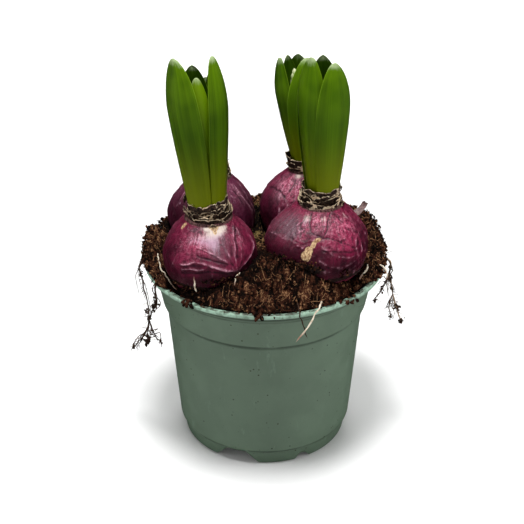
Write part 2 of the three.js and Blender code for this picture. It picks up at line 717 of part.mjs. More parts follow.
add("pot", potGeometry(), "pot");
const roots = allRoots();
add("soil", soilGeometry(roots), "soil");
for (const root of roots) {
  add(root.name, toGeometry(joined(root.strands.map((points) => strand(points)))), root.look);
}
for (const bulb of BULBS) {
  const shoot = SHOOTS[bulb.name];
  add(`bulb_${bulb.name}`, bulbGeometry(bulb, shoot), "bulb");
  add(`neck_scales_${bulb.name}`, scalesGeometry(bulb, shoot), "scales");
  add(`flower_bud_${bulb.name}`, budGeometry(bulb, shoot), "bud");
  for (const leaf of shoot.leaves) {
    add(`leaf_${bulb.name}_${leaf.name}`, leafGeometry(bulb, shoot, leaf), "leaf");
  }
}
add("skin_flap", flapGeometry(BULBS[1]), "flap");

export default group;
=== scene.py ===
"""Looks of a nursery pot of peat with four sprouting hyacinth bulbs.

Sizes in this file are millimetres and degrees, and meshes are written in metres. +Z is up, -Y is the front.
Azimuths turn round a vertical axis: 0 faces the front, 90 the right, 180 the back.
"""
import math
from collections import namedtuple

import bpy
import numpy as np
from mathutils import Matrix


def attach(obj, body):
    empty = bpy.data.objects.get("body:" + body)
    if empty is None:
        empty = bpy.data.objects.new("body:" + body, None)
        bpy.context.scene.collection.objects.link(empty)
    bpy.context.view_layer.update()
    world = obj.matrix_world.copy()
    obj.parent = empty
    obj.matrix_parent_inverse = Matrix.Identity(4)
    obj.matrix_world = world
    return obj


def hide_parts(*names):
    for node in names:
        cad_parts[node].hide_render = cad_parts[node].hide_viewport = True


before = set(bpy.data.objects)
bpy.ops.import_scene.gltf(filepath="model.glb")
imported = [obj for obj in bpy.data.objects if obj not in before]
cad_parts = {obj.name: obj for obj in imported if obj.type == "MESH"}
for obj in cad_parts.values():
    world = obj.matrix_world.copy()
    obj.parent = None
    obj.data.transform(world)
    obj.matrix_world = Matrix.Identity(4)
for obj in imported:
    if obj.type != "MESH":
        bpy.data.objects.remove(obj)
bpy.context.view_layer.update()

bl_info = {
    "name": "Potted hyacinth bulbs",
    "version": (1, 0, 0),
    "blender": (4, 5, 0),
    "location": "3D View > Sidebar > Hyacinth",
    "description": "Finer pieces and finishes for a pot of sprouting hyacinth bulbs",
    "category": "Object",
}

MM = 0.001

# Pot
POT_RADIUS = 70.0
POT_HEIGHT = 114.6
POT_WALL = 1.3
LIP_FOOT = 111.7
LEDGE_HEIGHT = 106.1
COLLAR_RADIUS = 64.6
COLLAR_FOOT = 87.9
BODY_RADIUS_TOP = 58.2
BODY_RADIUS_FOOT = 52.1
FOOT_RADIUS = 49.2
FOOT_HEIGHT = 8.8
FLOOR_TOP = 10.4
DRAIN_COUNT = 6
DRAIN_RADIUS = 4.0
DRAIN_FROM_AXIS = 37.0
CORNER_BEND = 0.55
# Notches of the foot ring: azimuths, height, and width at the top and at the bottom
NOTCHES = [((-20, 100, 220), 8.0, 10.4, 27.0), ((27, 147, 267), 3.6, 3.0, 9.6)]

# Plants: the bulb's girth centre and radius, its neck's top, radius and sideways shift, and the azimuth, tilt
# and rise of the bulge that loose skin makes on one side. Then the shoot's height, its radius at the foot and
# where widest, its lean, the dry collar's height, where that is tallest and the share that it loses on the
# other side, and the height of the bud inside. Last the leaves: layer, which is 1 for the inner one, azimuth,
# spread, drift, height and bluntness.
Plant = namedtuple("Plant", "x y z radius top neck shift bulge tall foot widest lean collar slope bud leaves")
PLANTS = {
    "front_left": Plant(
        x=-30.9, y=-29.0, z=131.5, radius=26.7, top=155.0, neck=13.2, shift=0.0, bulge=(62, 8, 0.6),
        tall=94.6, foot=9.3, widest=16.3, lean=-0.066, collar=12.0, slope=(75, 0.4), bud=66.0,
        leaves={
            "left": (0, -40, 55, -14, 93.8, 11.0),
            "right": (0, 60, 39, 4, 94.6, 8.0),
            "inner": (1, 4, 34, 4, 85.0, 5.0),
            "back": (1, -170, 52, 0, 84.2, 4.0),
            "back_right": (0, 139, 37, 0, 82.0, 5.0),
            "back_left": (0, -142, 33, 0, 82.0, 5.0),
        },
    ),
    "front_right": Plant(
        x=29.6, y=-27.0, z=136.1, radius=28.2, top=162.5, neck=12.0, shift=1.0, bulge=(-76, 17, 3.2),
        tall=86.1, foot=8.4, widest=15.7, lean=-0.02, collar=10.5, slope=(-60, 0.1), bud=59.5,
        leaves={
            "right": (0, 43, 57, -10, 84.3, 4.2),
            "left": (1, -50, 58, 8, 86.1, 7.0),
            "back": (1, 152, 54, 20, 82.2, 5.0),
            "back_left": (0, -146, 30, 0, 73.5, 5.0),
        },
    ),
    "back_left": Plant(
        x=-31.4, y=28.0, z=127.3, radius=26.0, top=153.5, neck=11.0, shift=0.7, bulge=(-100, 10, 1.0),
        tall=63.0, foot=9.2, widest=12.6, lean=-0.11, collar=8.5, slope=(0, 0.1), bud=50.0,
        leaves={
            "left": (0, -72, 56, 0, 61.0, 6.0),
            "right": (0, 48, 58, 0, 63.0, 6.0),
            "back": (0, 160, 48, 0, 59.0, 6.0),
            "inner": (1, -150, 48, 0, 56.0, 5.0),
        },
    ),
    "back_right": Plant(
        x=19.6, y=27.0, z=131.8, radius=23.2, top=158.4, neck=8.9, shift=3.3, bulge=(130, 20, 1.0),
        tall=71.6, foot=7.4, widest=15.0, lean=-0.1, collar=8.0, slope=(0, 0.1), bud=63.0,
        leaves={
            "left": (1, -71, 60, 0, 70.2, 6.0),
            "right": (0, 40, 70, 5, 71.6, 5.0),
            "back": (0, 158, 44, 8, 67.6, 5.0),
            "inner": (1, -174, 33, 16, 68.1, 5.0),
        },
    ),
}

# Bulbs: a bulge's width and height in degrees, the basal plate's radius and how far it is below the girth,
# the depth of the neck's socket, the power in the shoulder's curve, the relief of folds and of dents, the gap
# that keeps a shoot clear of its socket, and how finely the front and the back bulbs are divided
BULGE_WIDTH = 32
BULGE_TALL = 24
BASAL_RADIUS = 12.0
BASAL_DROP = 22.0
SOCKET_DEPTH = 3.0
SHOULDER = 2.2
FOLD_RELIEF = 0.45
DENT_RELIEF = 0.35
GAP = 0.35
FRONT_FINENESS = 1.25
BACK_FINENESS = 0.86

# Shoots: where they are widest as a share of their height, the share by which they narrow from there to the
# top, the florets of a spike, the leaves' thickness and the step between layers, each at the foot and where
# widest, how many degrees further leaves reach low down, the spread below which one counts as narrow, and
# the turn from one floret to the next
WIDEST_AT = 0.7
TIP_PINCH = 0.26
FLORETS = 26
LEAF_THICK_FOOT = 1.5
LEAF_THICK_WIDEST = 1.9
LEAF_STEP_FOOT = 2.2
LEAF_STEP_WIDEST = 2.9
LEAF_HUG = 2.6
NARROW_LEAF = 50
GOLDEN_TURN = 137.5
# Frills of a collar, from the inner one out: foot, top as a share of the collar's, step out and flare
FRILLS = [(2.0, 1.0, -2.1, 0.3), (1.0, 0.84, -2.1, 1.3), (0.3, 0.66, -1.8, 1.5), (0.0, 0.47, -1.3, 1.5),
          (-0.6, 0.26, -0.35, 1.2)]

# Soil: the mound's reach, its height at the edge and how much higher its crown is, the radius of the peat
# where it doesn't spill over the lip and its height where it does, and its heaps: x, y, reach and rise
SOIL_REACH = 69.4
SOIL_EDGE = 113.4
SOIL_CROWN = 6.5
SOIL_RIM = 66.3
SPILL_LEVEL = POT_HEIGHT + 0.5
SOIL_HEAPS = [
    (-65, 12, 8, 8), (-66, -7, 9, 4), (-58, 36, 12, 3), (62, 30, 15, 8.5),
    (65, 0, 12, 5), (0, 56, 24, 6), (46, 48, 14, 6), (0, -20, 16, 2.5),
    (-30, -44.5, 11, 10), (0, -38, 17, 10), (27.5, -44, 12, 11),
]

# Loose peat banked up against the bulbs: x, y, reach and rise
PEAT_BANKS = [
    (-22, -53, 7, 4), (-13, -49, 7, 6), (-5, -43, 7, 4), (5, -41, 8, 6), (11, -48, 7, 9), (19, -53, 7, 10),
    (27, -55, 7, 9), (36, -52, 7, 10), (46, -47, 7, 8.5), (-40, -52, 6, 2),
]

# Peat body below its top: radius that each ring keeps within and its height, from the lip to the floor
SOIL_SKIRT = [
    (66.6, SPILL_LEVEL), (65.2, 112.8), (62.4, 110.4), (58.1, 89), (56.0, 86), (50.2, 13), (48.5, 11.2),
    (30, 11.2),
]

# Middle of the greener peat, and sizes of the large and the small crumbs of the surface
MOSS_MIDDLE = (-9.0, 26.0, 120.0)
LARGE_CRUMBS = 4.4
SMALL_CRUMBS = 1.9

# Radius where the lip starts, azimuths of the two sides where peat spills over it, the spread in degrees of
# what lies loose there, and its number of crumbs and of fibres
LIP_START = 67.0
SPILL_LEFT = -92
SPILL_RIGHT = 98
SPILL_SPREAD = 21
SPILL_CRUMBS = 1100
SPILL_FIBRES = 420

# Clumps of crumbs on the front of the lip: azimuth, spread and number
LIP_CLUMPS = [(-37, 2.2, 16), (-2, 2.0, 18), (42, 2.2, 16)]

# Single crumbs on the lip: first and last azimuth, and number
LIP_CRUMBS = [(0, 360, 150), (95, 270, 60)]

# Patches of crumbs that cling to the bulbs: bulb, azimuth, width, tilt, height and number
CLINGING_PATCHES = [
    ("front_right", -32, 26, 2, 7, 330), ("front_right", 36, 14, -10, 5, 90),
    ("front_left", 20, 22, -9, 4, 120), ("front_left", -30, 26, -24, 4, 90),
]

# Camera and light
CAMERA_PLACE = (-1.64, -617.4, 448.5)
CAMERA_DOWN = 28.79
CAMERA_LENS = 82.44
CAMERA_SENSOR = 36.0

# Lights: setting that gives the power and share of it, place, place that it faces, and size
GROUP_MIDDLE = (0, 0, 130)
LIGHTS = {
    "key": ("key", 1.0, (-30, -150, 930), GROUP_MIDDLE, 220),
    "left": ("fill", 1.7, (-900, 20, 260), GROUP_MIDDLE, 400),
    "front": ("fill", 0.8, (-60, -900, 420), GROUP_MIDDLE, 400),
    "right": ("fill", 3.0, (900, -20, 260), GROUP_MIDDLE, 400),
    "back": ("fill", 1.0, (150, 700, 600), GROUP_MIDDLE, 400),
    "far floor": ("far", 1.0, (0, 1500, 1000), (0, 1500, 0), 1500),
}

# Floor: half its side and its level in metres, how strongly it glows, and where that starts and is full
FLOOR_HALF = 20.0
FLOOR_LEVEL = -0.00005
GLOW = 0.85
GLOW_REACH = (480, 900)


def tint(red, green, blue):
    """Colour from the 0 to 255 values of a screen, as the linear values that shaders take."""
    shares = np.array([red, green, blue]) / 255
    linear = np.where(shares <= 0.04045, shares / 12.92, ((shares + 0.055) / 1.055) ** 2.4)
    return (*linear.tolist(), 1.0)


def colour_setting(name, description, colour):
    """Colour, given by the 0 to 255 values of a screen."""
    return bpy.props.FloatVectorProperty(
        name=name, description=description, subtype="COLOR", size=4, min=0, max=1, default=tint(*colour)
    )


def share_setting(name, description, default):
    """Number from 0 to 1."""
    return bpy.props.FloatProperty(
        name=name, description=description, subtype="FACTOR", min=0, max=1, default=default
    )


def count_setting(name, description, default, most):
    """Whole number of small parts."""
    return bpy.props.IntProperty(name=name, description=description, default=default, min=0, max=most)


def power_setting(name, description, default):
    """Power of a light in watts."""
    return bpy.props.FloatProperty(name=name, description=description, default=default, min=0, unit="POWER")


class PotSettings(bpy.types.PropertyGroup):
    plastic: colour_setting("Plastic", "Colour of the pot's plastic", (97, 117, 98))
    shade: colour_setting("Shade", "Darker mottling of the plastic", (88, 107, 89))
    # The rim colour serves the scuffs and the lip's band, which is partly worn plastic and partly a painted
    # highlight.
    rim: colour_setting("Rim", "Rubbed plastic along the lip", (172, 208, 186))
    dirt: colour_setting("Dirt", "Specks of peat on the plastic", (46, 36, 28))
    roughness: share_setting("Roughness", "How matt the plastic is", 0.42)


class SoilSettings(bpy.types.PropertyGroup):
    dark: colour_setting("Dark", "Damp peat between the crumbs", (10, 4, 2))
    brown: colour_setting("Brown", "Peat crumbs", (64, 34, 22))
    light: colour_setting("Light", "Dry crumbs and fibres", (186, 140, 100))
    moss: colour_setting("Moss", "Green-tan peat at the back", (176, 154, 96))
    crumbs: count_setting("Crumbs", "Loose crumbs", 3400, 6000)
    fibres: count_setting("Fibres", "Loose fibres", 2200, 4000)


class BulbSettings(bpy.types.PropertyGroup):
    skin: colour_setting("Skin", "Main colour of the tunics", (104, 6, 46))
    # Deep also stands partly for painted shade low down and on the sides away from the light.
    deep: colour_setting("Deep", "Darkest parts of the tunics", (46, 0, 17))
    # Pink also serves partly as painted light on the lit upper skin.
    pink: colour_setting("Pink", "Thin lit skin", (184, 58, 98))
    grey: colour_setting("Grey", "Loose outer skin with a grey bloom", (106, 80, 90))
    pale: colour_setting("Pale", "Places where the skin has worn through", (222, 208, 196))
    bare: colour_setting("Bare", "Torn tan patches", (226, 196, 150))
    # Painted sheen: the colour of highlights on the crests, the pink marks and the upper skin.
    painted_sheen: colour_setting("Shine", "Silky crests of the folds", (230, 170, 190))
    vein: colour_setting("Vein", "Dark veins and furrows", (40, 8, 24))
    wrinkles: bpy.props.FloatProperty(
        name="Wrinkles", description="Height of the skin's wrinkles", default=0.0006, min=0, max=0.003,
        unit="LENGTH", subtype="DISTANCE", precision=5,
    )


class ScaleSettings(bpy.types.PropertyGroup):
    tan: colour_setting("Tan", "Edges and patches of the dry scales", (226, 206, 174))
    brown: colour_setting("Brown", "Dark dry scales", (24, 14, 11))
    flakes: count_setting("Flakes", "Loose flakes round each neck", 10, 90)


class LeafSettings(bpy.types.PropertyGroup):
    green: colour_setting("Green", "Leaf blades", (60, 91, 0))
    dark: colour_setting("Dark", "Dark stripes between the veins", (42, 67, 0))
    light: colour_setting("Light", "Light stripes", (96, 130, 8))
    foot: colour_setting("Foot", "Yellowish foot of the leaves", (102, 110, 0))
    tip: colour_setting("Tip", "Pale hooded tips", (168, 184, 140))
    roughness: share_setting("Roughness", "How matt the leaves are", 0.38)


class BudSettings(bpy.types.PropertyGroup):
    green: colour_setting("Green", "Closed florets", (150, 176, 84))
    cream: colour_setting("Cream", "Tips of the florets", (226, 230, 184))


class RootSettings(bpy.types.PropertyGroup):
    white: colour_setting("White", "Fresh roots", (226, 214, 192))
    stain: colour_setting("Stain", "Peat stains on fresh roots", (150, 112, 78))
    dark: colour_setting("Dark", "Old roots", (74, 50, 36))
    skin: colour_setting("Skin", "Loose dry skin", (112, 90, 92))


class StudioSettings(bpy.types.PropertyGroup):
    floor: colour_setting("Floor", "Plain floor", (246, 246, 246))
    key: power_setting("Key light", "Power of the large light above", 7.8)
    fill: power_setting("Fill light", "Power of the soft side lights", 1.05)
    far: power_setting("Far light", "Power of the light over the floor behind", 20.0)
    sky: share_setting("Surroundings", "Strength of the even light all round", 0.2)


# Shader wires


class Wire:
    """One output of a material's nodes. Arithmetic on wires and numbers adds Math nodes."""

    def __init__(self, tree, socket=None):
        self.tree = tree
        self.socket = socket

    def node(self, kind, settings=None, inputs=None, output=0):
        """Adds a node: first its settings, then its inputs' values or wires. Gives one of its outputs."""
        made = self.tree.nodes.new("ShaderNode" + kind)
        for name, value in (settings or {}).items():
            setattr(made, name, value)
        for name, value in (inputs or {}).items():
            self.join(value, made.inputs[name])
        return Wire(self.tree, made.outputs[output])

    def join(self, value, socket):
        """Gives a socket a wire or a plain value."""
        if isinstance(value, Wire):
            self.tree.links.new(value.socket, socket)
        else:
            socket.default_value = value

    def math(self, operation, *values):
        """A Math node on wires and numbers."""
        return self.node("Math", {"operation": operation}, dict(enumerate(values)))

    def __add__(self, other):
        return self.math("ADD", self, other)

    def __radd__(self, other):
        return self.math("ADD", other, self)

    def __sub__(self, other):
        return self.math("SUBTRACT", self, other)

    def __rsub__(self, other):
        return self.math("SUBTRACT", other, self)

    def __mul__(self, other):
        return self.math("MULTIPLY", self, other)

    def __rmul__(self, other):
        return self.math("MULTIPLY", other, self)

    def most(self, other):
        """The larger of two values."""
        return self.math("MAXIMUM", self, other)

    def step(self, low, high):
        """Eases from 0 at low to 1 at high; low may be the larger."""
        inputs = {"Value": self, "From Min": low, "From Max": high}
        return self.node("MapRange", {"interpolation_type": "SMOOTHSTEP"}, inputs)

    def band(self, level, start, full, fading, gone):
        """Eases up from start to full and down again from fading to gone, each told from a level."""
        return self.step(level + start, level + full) * self.step(level + gone, level + fading)

    def noise(self, size, detail=3.0, roughness=0.5, stretch=(1.0, 1.0, 1.0)):
        """Noise with features of that size in millimetres, on a vector in millimetres."""
        scaled = self.node("VectorMath", {"operation": "MULTIPLY"}, {0: self, 1: stretch})
        inputs = {"Vector": scaled, "Scale": 1 / size, "Detail": detail, "Roughness": roughness}
        return self.node("TexNoise", {}, inputs)

    def cells(self, size):
        """Distance to the nearest point of cells of that size in millimetres."""
        return self.node("TexVoronoi", {}, {"Vector": self, "Scale": 1 / size})


class Finish:
    """A material under way: its shader, its Object coordinates in millimetres and its colour so far."""

    def __init__(self, name, colour):
        self.material = bpy.data.materials.new(name)
        self.material.use_nodes = True
        self.shader = self.material.node_tree.nodes["Principled BSDF"]
        self.wires = Wire(self.material.node_tree)
        spot = self.wires.node("TexCoord", output="Object")
        self.place = self.wires.node("VectorMath", {"operation": "SCALE"}, {0: spot, "Scale": 1 / MM})
        self.colour = colour

    def value(self, name, output="Fac"):
        """A number stored at the mesh's points, or with the output Vector a vector."""
        return self.wires.node("Attribute", {"attribute_name": name}, output=output)

    def mix(self, factor, a, b):
        """Colour a where the factor is 0, colour b where it is 1."""
        return self.wires.node("Mix", {"data_type": "RGBA"}, {0: factor, 6: a, 7: b}, output=2)

    def coat(self, factor, colour):
        """Lays a colour over the one so far, as much of it as the factor says."""
        self.colour = self.mix(factor, self.colour, colour)

    def bump(self, height, distance, strength):
        """Bumps the surface by a height from 0 to 1 that stands for that many millimetres."""
        inputs = {"Height": height, "Distance": distance * MM, "Strength": strength}
        self.put("Normal", self.wires.node("Bump", {}, inputs, output="Normal"))

    def put(self, socket, value):
        """Gives one of the shader's inputs a wire or a plain value."""
        self.wires.join(value, self.shader.inputs[socket])

    def done(self, roughness, specular=0.5):
        """Gives the shader its colour, roughness and specular level, and gives back the material."""
        self.put("Base Color", self.colour)
        self.put("Roughness", roughness)
        self.put("Specular IOR Level", specular)
        return self.material


# Numbers and noise


def scatter(cells, seed):
    """Repeatable numbers from 0 to 1, one for each whole-numbered cell: the fraction of a large sine."""
    mixed = np.sin(cells @ np.array([12.9898, 78.233, 37.719]) + 3.17 * seed) * 43758.5453
    return mixed - np.floor(mixed)


def noise(points, size, seed):
    """Smooth noise from -1 to 1: random values at the corners of cubes of that size, eased in between."""
    place = points / size
    cell = np.floor(place)
    part = place - cell
    part = part * part * (3 - 2 * part)
    total = np.zeros(points.shape[:-1])
    for corner in np.ndindex(2, 2, 2):
        corner = np.array(corner)
        weight = np.prod(np.where(corner == 1, part, 1 - part), axis=-1)
        total = total + weight * scatter(cell + corner, seed)
    return 2 * total - 1


def rough(points, size, seed, octaves=3):
    """Noise summed over octaves, each half as large and half as strong as the one before."""
    total = np.zeros(points.shape[:-1])
    for octave in range(octaves):
        total = total + noise(points, size / 2**octave, seed + octave) / 2**octave
    return total


def ridges(points, size, seed, sharp=3):
    """Thin crests from 0 to 1 where smooth noise passes through nought."""
    return (1 - np.abs(noise(points, size, seed))) ** sharp


def ease(value, low, high):
    """0 below low, 1 above high and a smooth step in between; low may be the larger."""
    share = np.clip((value - low) / (high - low), 0, 1)
    return share * share * (3 - 2 * share)


def seeded(seed):
    """The same run of repeatable numbers as the solids use: a linear congruential row."""
    state = seed * 7919 + 17
    while True:
        state = math.fmod(state * 1664525 + 1013904223, 4294967296)
        yield state / 4294967296


def ripple(seed, waves, azimuth):
    """Sum of sines round a circle with seeded phases, over the root of their number."""
    random = seeded(seed)
    angle = np.radians(azimuth)
    return sum(np.sin(wave * angle + 2 * math.pi * next(random)) for wave in waves) / math.sqrt(len(waves))


def spots(*parts):
    """Points from their coordinates, which are numbers or arrays that are spread over each other's shape."""
    return np.stack(np.broadcast_arrays(*parts), -1).astype(float)


def polar(azimuth, radius, z, x=0.0, y=0.0):
    """Points at an azimuth and radius round a vertical axis through x, y."""
    angle = np.radians(azimuth)
    return spots(x + radius * np.sin(angle), y - radius * np.cos(angle), z)


def azimuth_of(x, y):
    """Azimuth of a place round the pot's axis."""
    return np.degrees(np.arctan2(x, -y))


def unit(arrows):
    """Arrows of length 1 that point as the given ones do."""
    return arrows / np.maximum(np.linalg.norm(arrows, axis=-1, keepdims=True), 1e-9)


def circle(count, full=360):
    """Evenly spaced angles once round."""
    return np.linspace(0, full, count, endpoint=False)


def turn_apart(a, b):
    """Signed difference between azimuths, from -180 to 180."""
    return (a - b + 180) % 360 - 180


# Meshes


class Shell:
    """One closed skin: points in millimetres, quads, triangles, and values spread over its points."""

    def __init__(self, points, quads=(), triangles=(), values=None):
        shape = points.shape[:-1]
        self.points = points.reshape(-1, 3)
        self.quads = np.reshape(quads, (-1, 4)).astype(int)
        self.triangles = np.reshape(triangles, (-1, 3)).astype(int)
        self.values = {}
        for name, value in (values or {}).items():
            whole = np.broadcast_to(value, (*shape, *np.shape(value)[len(shape):]))
            self.values[name] = whole.reshape(len(self.points), -1)
        self.face_out()

    def face_out(self):
        """Turns the faces round if the volume that they enclose comes out negative."""
        halves = np.concatenate([self.quads[:, [0, 1, 2]], self.quads[:, [0, 2, 3]], self.triangles])
        a, b, c = (self.points[halves[:, i]] for i in range(3))
        if np.sum(a * np.cross(b, c)) < 0:
            self.quads = self.quads[:, ::-1]
            self.triangles = self.triangles[:, ::-1]


def grid_quads(rows, columns, wrap_rows=False, wrap_columns=False):
    """Corner numbers of the quads of a grid of points, which may close on itself either way."""
    row = np.arange(rows if wrap_rows else rows - 1)[:, None]
    column = np.arange(columns if wrap_columns else columns - 1)[None, :]
    next_row = (row + 1) % rows * columns
    next_column = (column + 1) % columns
    row = row * columns
    corners = [row + column, row + next_column, next_row + next_column, next_row + column]
    return np.stack(corners, -1).reshape(-1, 4)


def tube_shell(rings, start=None, end=None, values=None):
    """Skin over a row of closed rings, with a fan at both ends to a point, by default the ring's middle."""
    rows, around = rings.shape[:2]
    count = rows * around
    column = np.arange(around)
    following = (column + 1) % around
    last = count - around
    fans = [spots(following, column, count), spots(last + column, last + following, count + 1)]
    start = rings[0].mean(0) if start is None else start
    end = rings[-1].mean(0) if end is None else end
    ended = {}
    for name, value in (values or {}).items():
        flat = np.broadcast_to(value, (rows, around, *np.shape(value)[2:])).reshape(count, -1)
        ended[name] = np.concatenate([flat, flat[:1], flat[-1:]])
    points = np.concatenate([rings.reshape(-1, 3), [start, end]])
    return Shell(points, grid_quads(rows, around, wrap_columns=True), fans, ended)


def merged(shells):
    """One shell of several. A value that one lacks is 0 there."""
    wide = {name: value.shape[1] for shell in shells for name, value in shell.values.items()}
    shifts = np.cumsum([0] + [len(shell.points) for shell in shells[:-1]])
    values = {}
    for name, numbers in wide.items():
        parts = [shell.values.get(name, np.zeros((len(shell.points), numbers))) for shell in shells]
        values[name] = np.concatenate(parts)
    return Shell(
        np.concatenate([shell.points for shell in shells]),
        np.concatenate([shell.quads + shift for shell, shift in zip(shells, shifts)]),
        np.concatenate([shell.triangles + shift for shell, shift in zip(shells, shifts)]),
        values,
    )


def make_piece(name, shell, finish, replaces):
    """Mesh object at the origin with its place in its mesh. It rides on the frame and stands for solids."""
    mesh = bpy.data.meshes.new(name)
    mesh.vertices.add(len(shell.points))
    mesh.vertices.foreach_set("co", (shell.points * MM).astype(np.float32).ravel())
    corners = np.concatenate([shell.triangles.ravel(), shell.quads.ravel()]).astype(np.int32)
    triangle_starts = 3 * np.arange(len(shell.triangles))
    quad_starts = shell.triangles.size + 4 * np.arange(len(shell.quads))
    starts = np.concatenate([triangle_starts, quad_starts]).astype(np.int32)
    mesh.loops.add(len(corners))
    mesh.loops.foreach_set("vertex_index", corners)
    mesh.polygons.add(len(starts))
    mesh.polygons.foreach_set("loop_start", starts)
    mesh.polygons.foreach_set("use_smooth", np.ones(len(starts), bool))
    mesh.update(calc_edges=True)
    for key, value in shell.values.items():
        kind, field = ("FLOAT_VECTOR", "vector") if value.shape[1] == 3 else ("FLOAT", "value")
        attribute = mesh.attributes.new(key, kind, "POINT")
        attribute.data.foreach_set(field, value.astype(np.float32).ravel())
    mesh.materials.append(finish)
    piece = bpy.data.objects.new(name, mesh)
    bpy.context.scene.collection.objects.link(piece)
    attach(piece, "root")
    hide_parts(*replaces)


def strands(paths, radii, sides, values):
    """Thin closed tubes along many paths at once: a ring of points square to the path at each of its points.

    Paths are (number, steps, 3) and radii (number, steps). Each end is closed by a fan round its ring's first
    point. Values are given for each tube or for each of its rings.
    """
    number, steps = paths.shape[:2]
    along = unit(np.gradient(paths, axis=1))
    aside = unit(np.cross(along, np.array([0.36, 0.48, 0.8])))
    upward = np.cross(along, aside)
    angle = circle(sides, 2 * math.pi)
    ring = aside[:, :, None] * np.cos(angle)[:, None] + upward[:, :, None] * np.sin(angle)[:, None]
    points = paths[:, :, None] + ring * radii[:, :, None, None]
    quads = grid_quads(steps, sides, wrap_columns=True)
    fan = np.array([[0, i, i + 1] for i in range(1, sides - 1)])
    triangles = np.concatenate([fan[:, ::-1], fan + (steps - 1) * sides])
    shifts = (steps * sides * np.arange(number))[:, None, None]
    spread = {name: np.reshape(value, (number, -1, 1)) for name, value in values.items()}
    return Shell(points, quads + shifts, triangles + shifts, spread)


BALL_POINTS = np.array([
    (0, 0, 1), (0.894, 0, 0.447), (0.276, 0.851, 0.447), (-0.724, 0.526, 0.447), (-0.724, -0.526, 0.447),
    (0.276, -0.851, 0.447), (0.724, 0.526, -0.447), (-0.276, 0.851, -0.447), (-0.894, 0, -0.447),
    (-0.276, -0.851, -0.447), (0.724, -0.526, -0.447), (0, 0, -1),
])
BALL_FACES = np.array([
    (0, 1, 2), (0, 2, 3), (0, 3, 4), (0, 4, 5), (0, 5, 1),
    (1, 6, 2), (2, 7, 3), (3, 8, 4), (4, 9, 5), (5, 10, 1),
    (6, 7, 2), (7, 8, 3), (8, 9, 4), (9, 10, 5), (10, 6, 1),
    (11, 7, 6), (11, 8, 7), (11, 9, 8), (11, 10, 9), (11, 6, 10),
])


def lumps(centres, sizes, random, tone):
    """Small angular lumps: twelve points on a ball, pushed in or out and squashed along random axes."""
    number = len(centres)
    uneven = 1 + 0.38 * random.uniform(-1, 1, (number, 12, 1))
    squash = random.uniform(0.55, 1.25, (number, 1, 3))
    turns, _ = np.linalg.qr(random.normal(size=(number, 3, 3)))
    points = BALL_POINTS * uneven * squash * sizes[:, None, None]
    points = centres[:, None] + points @ turns.transpose(0, 2, 1)
    mirrored = np.linalg.det(turns)[:, None, None] < 0
    faces = np.where(mirrored, BALL_FACES[:, ::-1], BALL_FACES)
    return Shell(points, (), faces + 12 * np.arange(number)[:, None, None], {"tone": tone[:, None]})


def bent_paths(start, away, length, bend, steps):
    """Paths that leave their starts along an arrow and bend off with the square of the share of the length,
    and those shares."""
    share = np.linspace(0, 1, steps)[:, None]
    paths = start[:, None] + length[:, None, None] * (away[:, None] * share + bend[:, None] * share**2)
    return paths, share.T


def curve_points(points, steps):
    """Points of a smooth curve through the given ones: each span is a cubic set by the four nearest."""
    points = np.asarray(points, float)
    padded = np.concatenate([2 * points[:1] - points[1:2], points, 2 * points[-1:] - points[-2:-1]])
    place = np.linspace(0, len(points) - 1, steps)
    span = np.minimum(place.astype(int), len(points) - 2)
    part = (place - span)[:, None]
    a, b, c, d = (padded[span + i] for i in range(4))
    cubic = 2 * b + (c - a) * part + (2 * a - 5 * b + 4 * c - d) * part**2 + (3 * b - a - 3 * c + d) * part**3
    return cubic / 2


def strip_section(columns, power=0.5):
    """Turn round a thin strip's section: the place across it, and its face, which is a root of the cosine and
    goes from 1 on the outer side to -1 on the inner."""
    turn = circle(columns, 2 * math.pi)
    return np.sin(turn), np.sign(np.cos(turn)) * np.abs(np.cos(turn)) ** power


# Pot


def rounded(corners, bend):
    """Outline with each corner replaced by a short curve that starts and ends that far from it."""
    result = []
    share = np.linspace(0, 1, 4)[:, None]
    for before, corner, after in zip(np.roll(corners, 1, 0), corners, np.roll(corners, -1, 0)):
        reach = min(bend, 0.4 * np.linalg.norm(before - corner), 0.4 * np.linalg.norm(after - corner))
        start = corner + unit(before - corner) * reach
        end = corner + unit(after - corner) * reach
        result.append((1 - share) ** 2 * start + 2 * share * (1 - share) * corner + share**2 * end)
    return np.concatenate(result)


def notch_depth(azimuth):
    """How far the foot ring is cut away from below: a flat-topped notch with sloping sides at each place."""
    depth = np.zeros_like(azimuth)
    for azimuths, height, top, bottom in NOTCHES:
        for middle in azimuths:
            away = np.radians(np.abs(turn_apart(azimuth, middle))) * FOOT_RADIUS
            share = np.clip((bottom - 2 * away) / (bottom - top), 0, 1)
            depth = np.maximum(depth, height * share)
    return depth


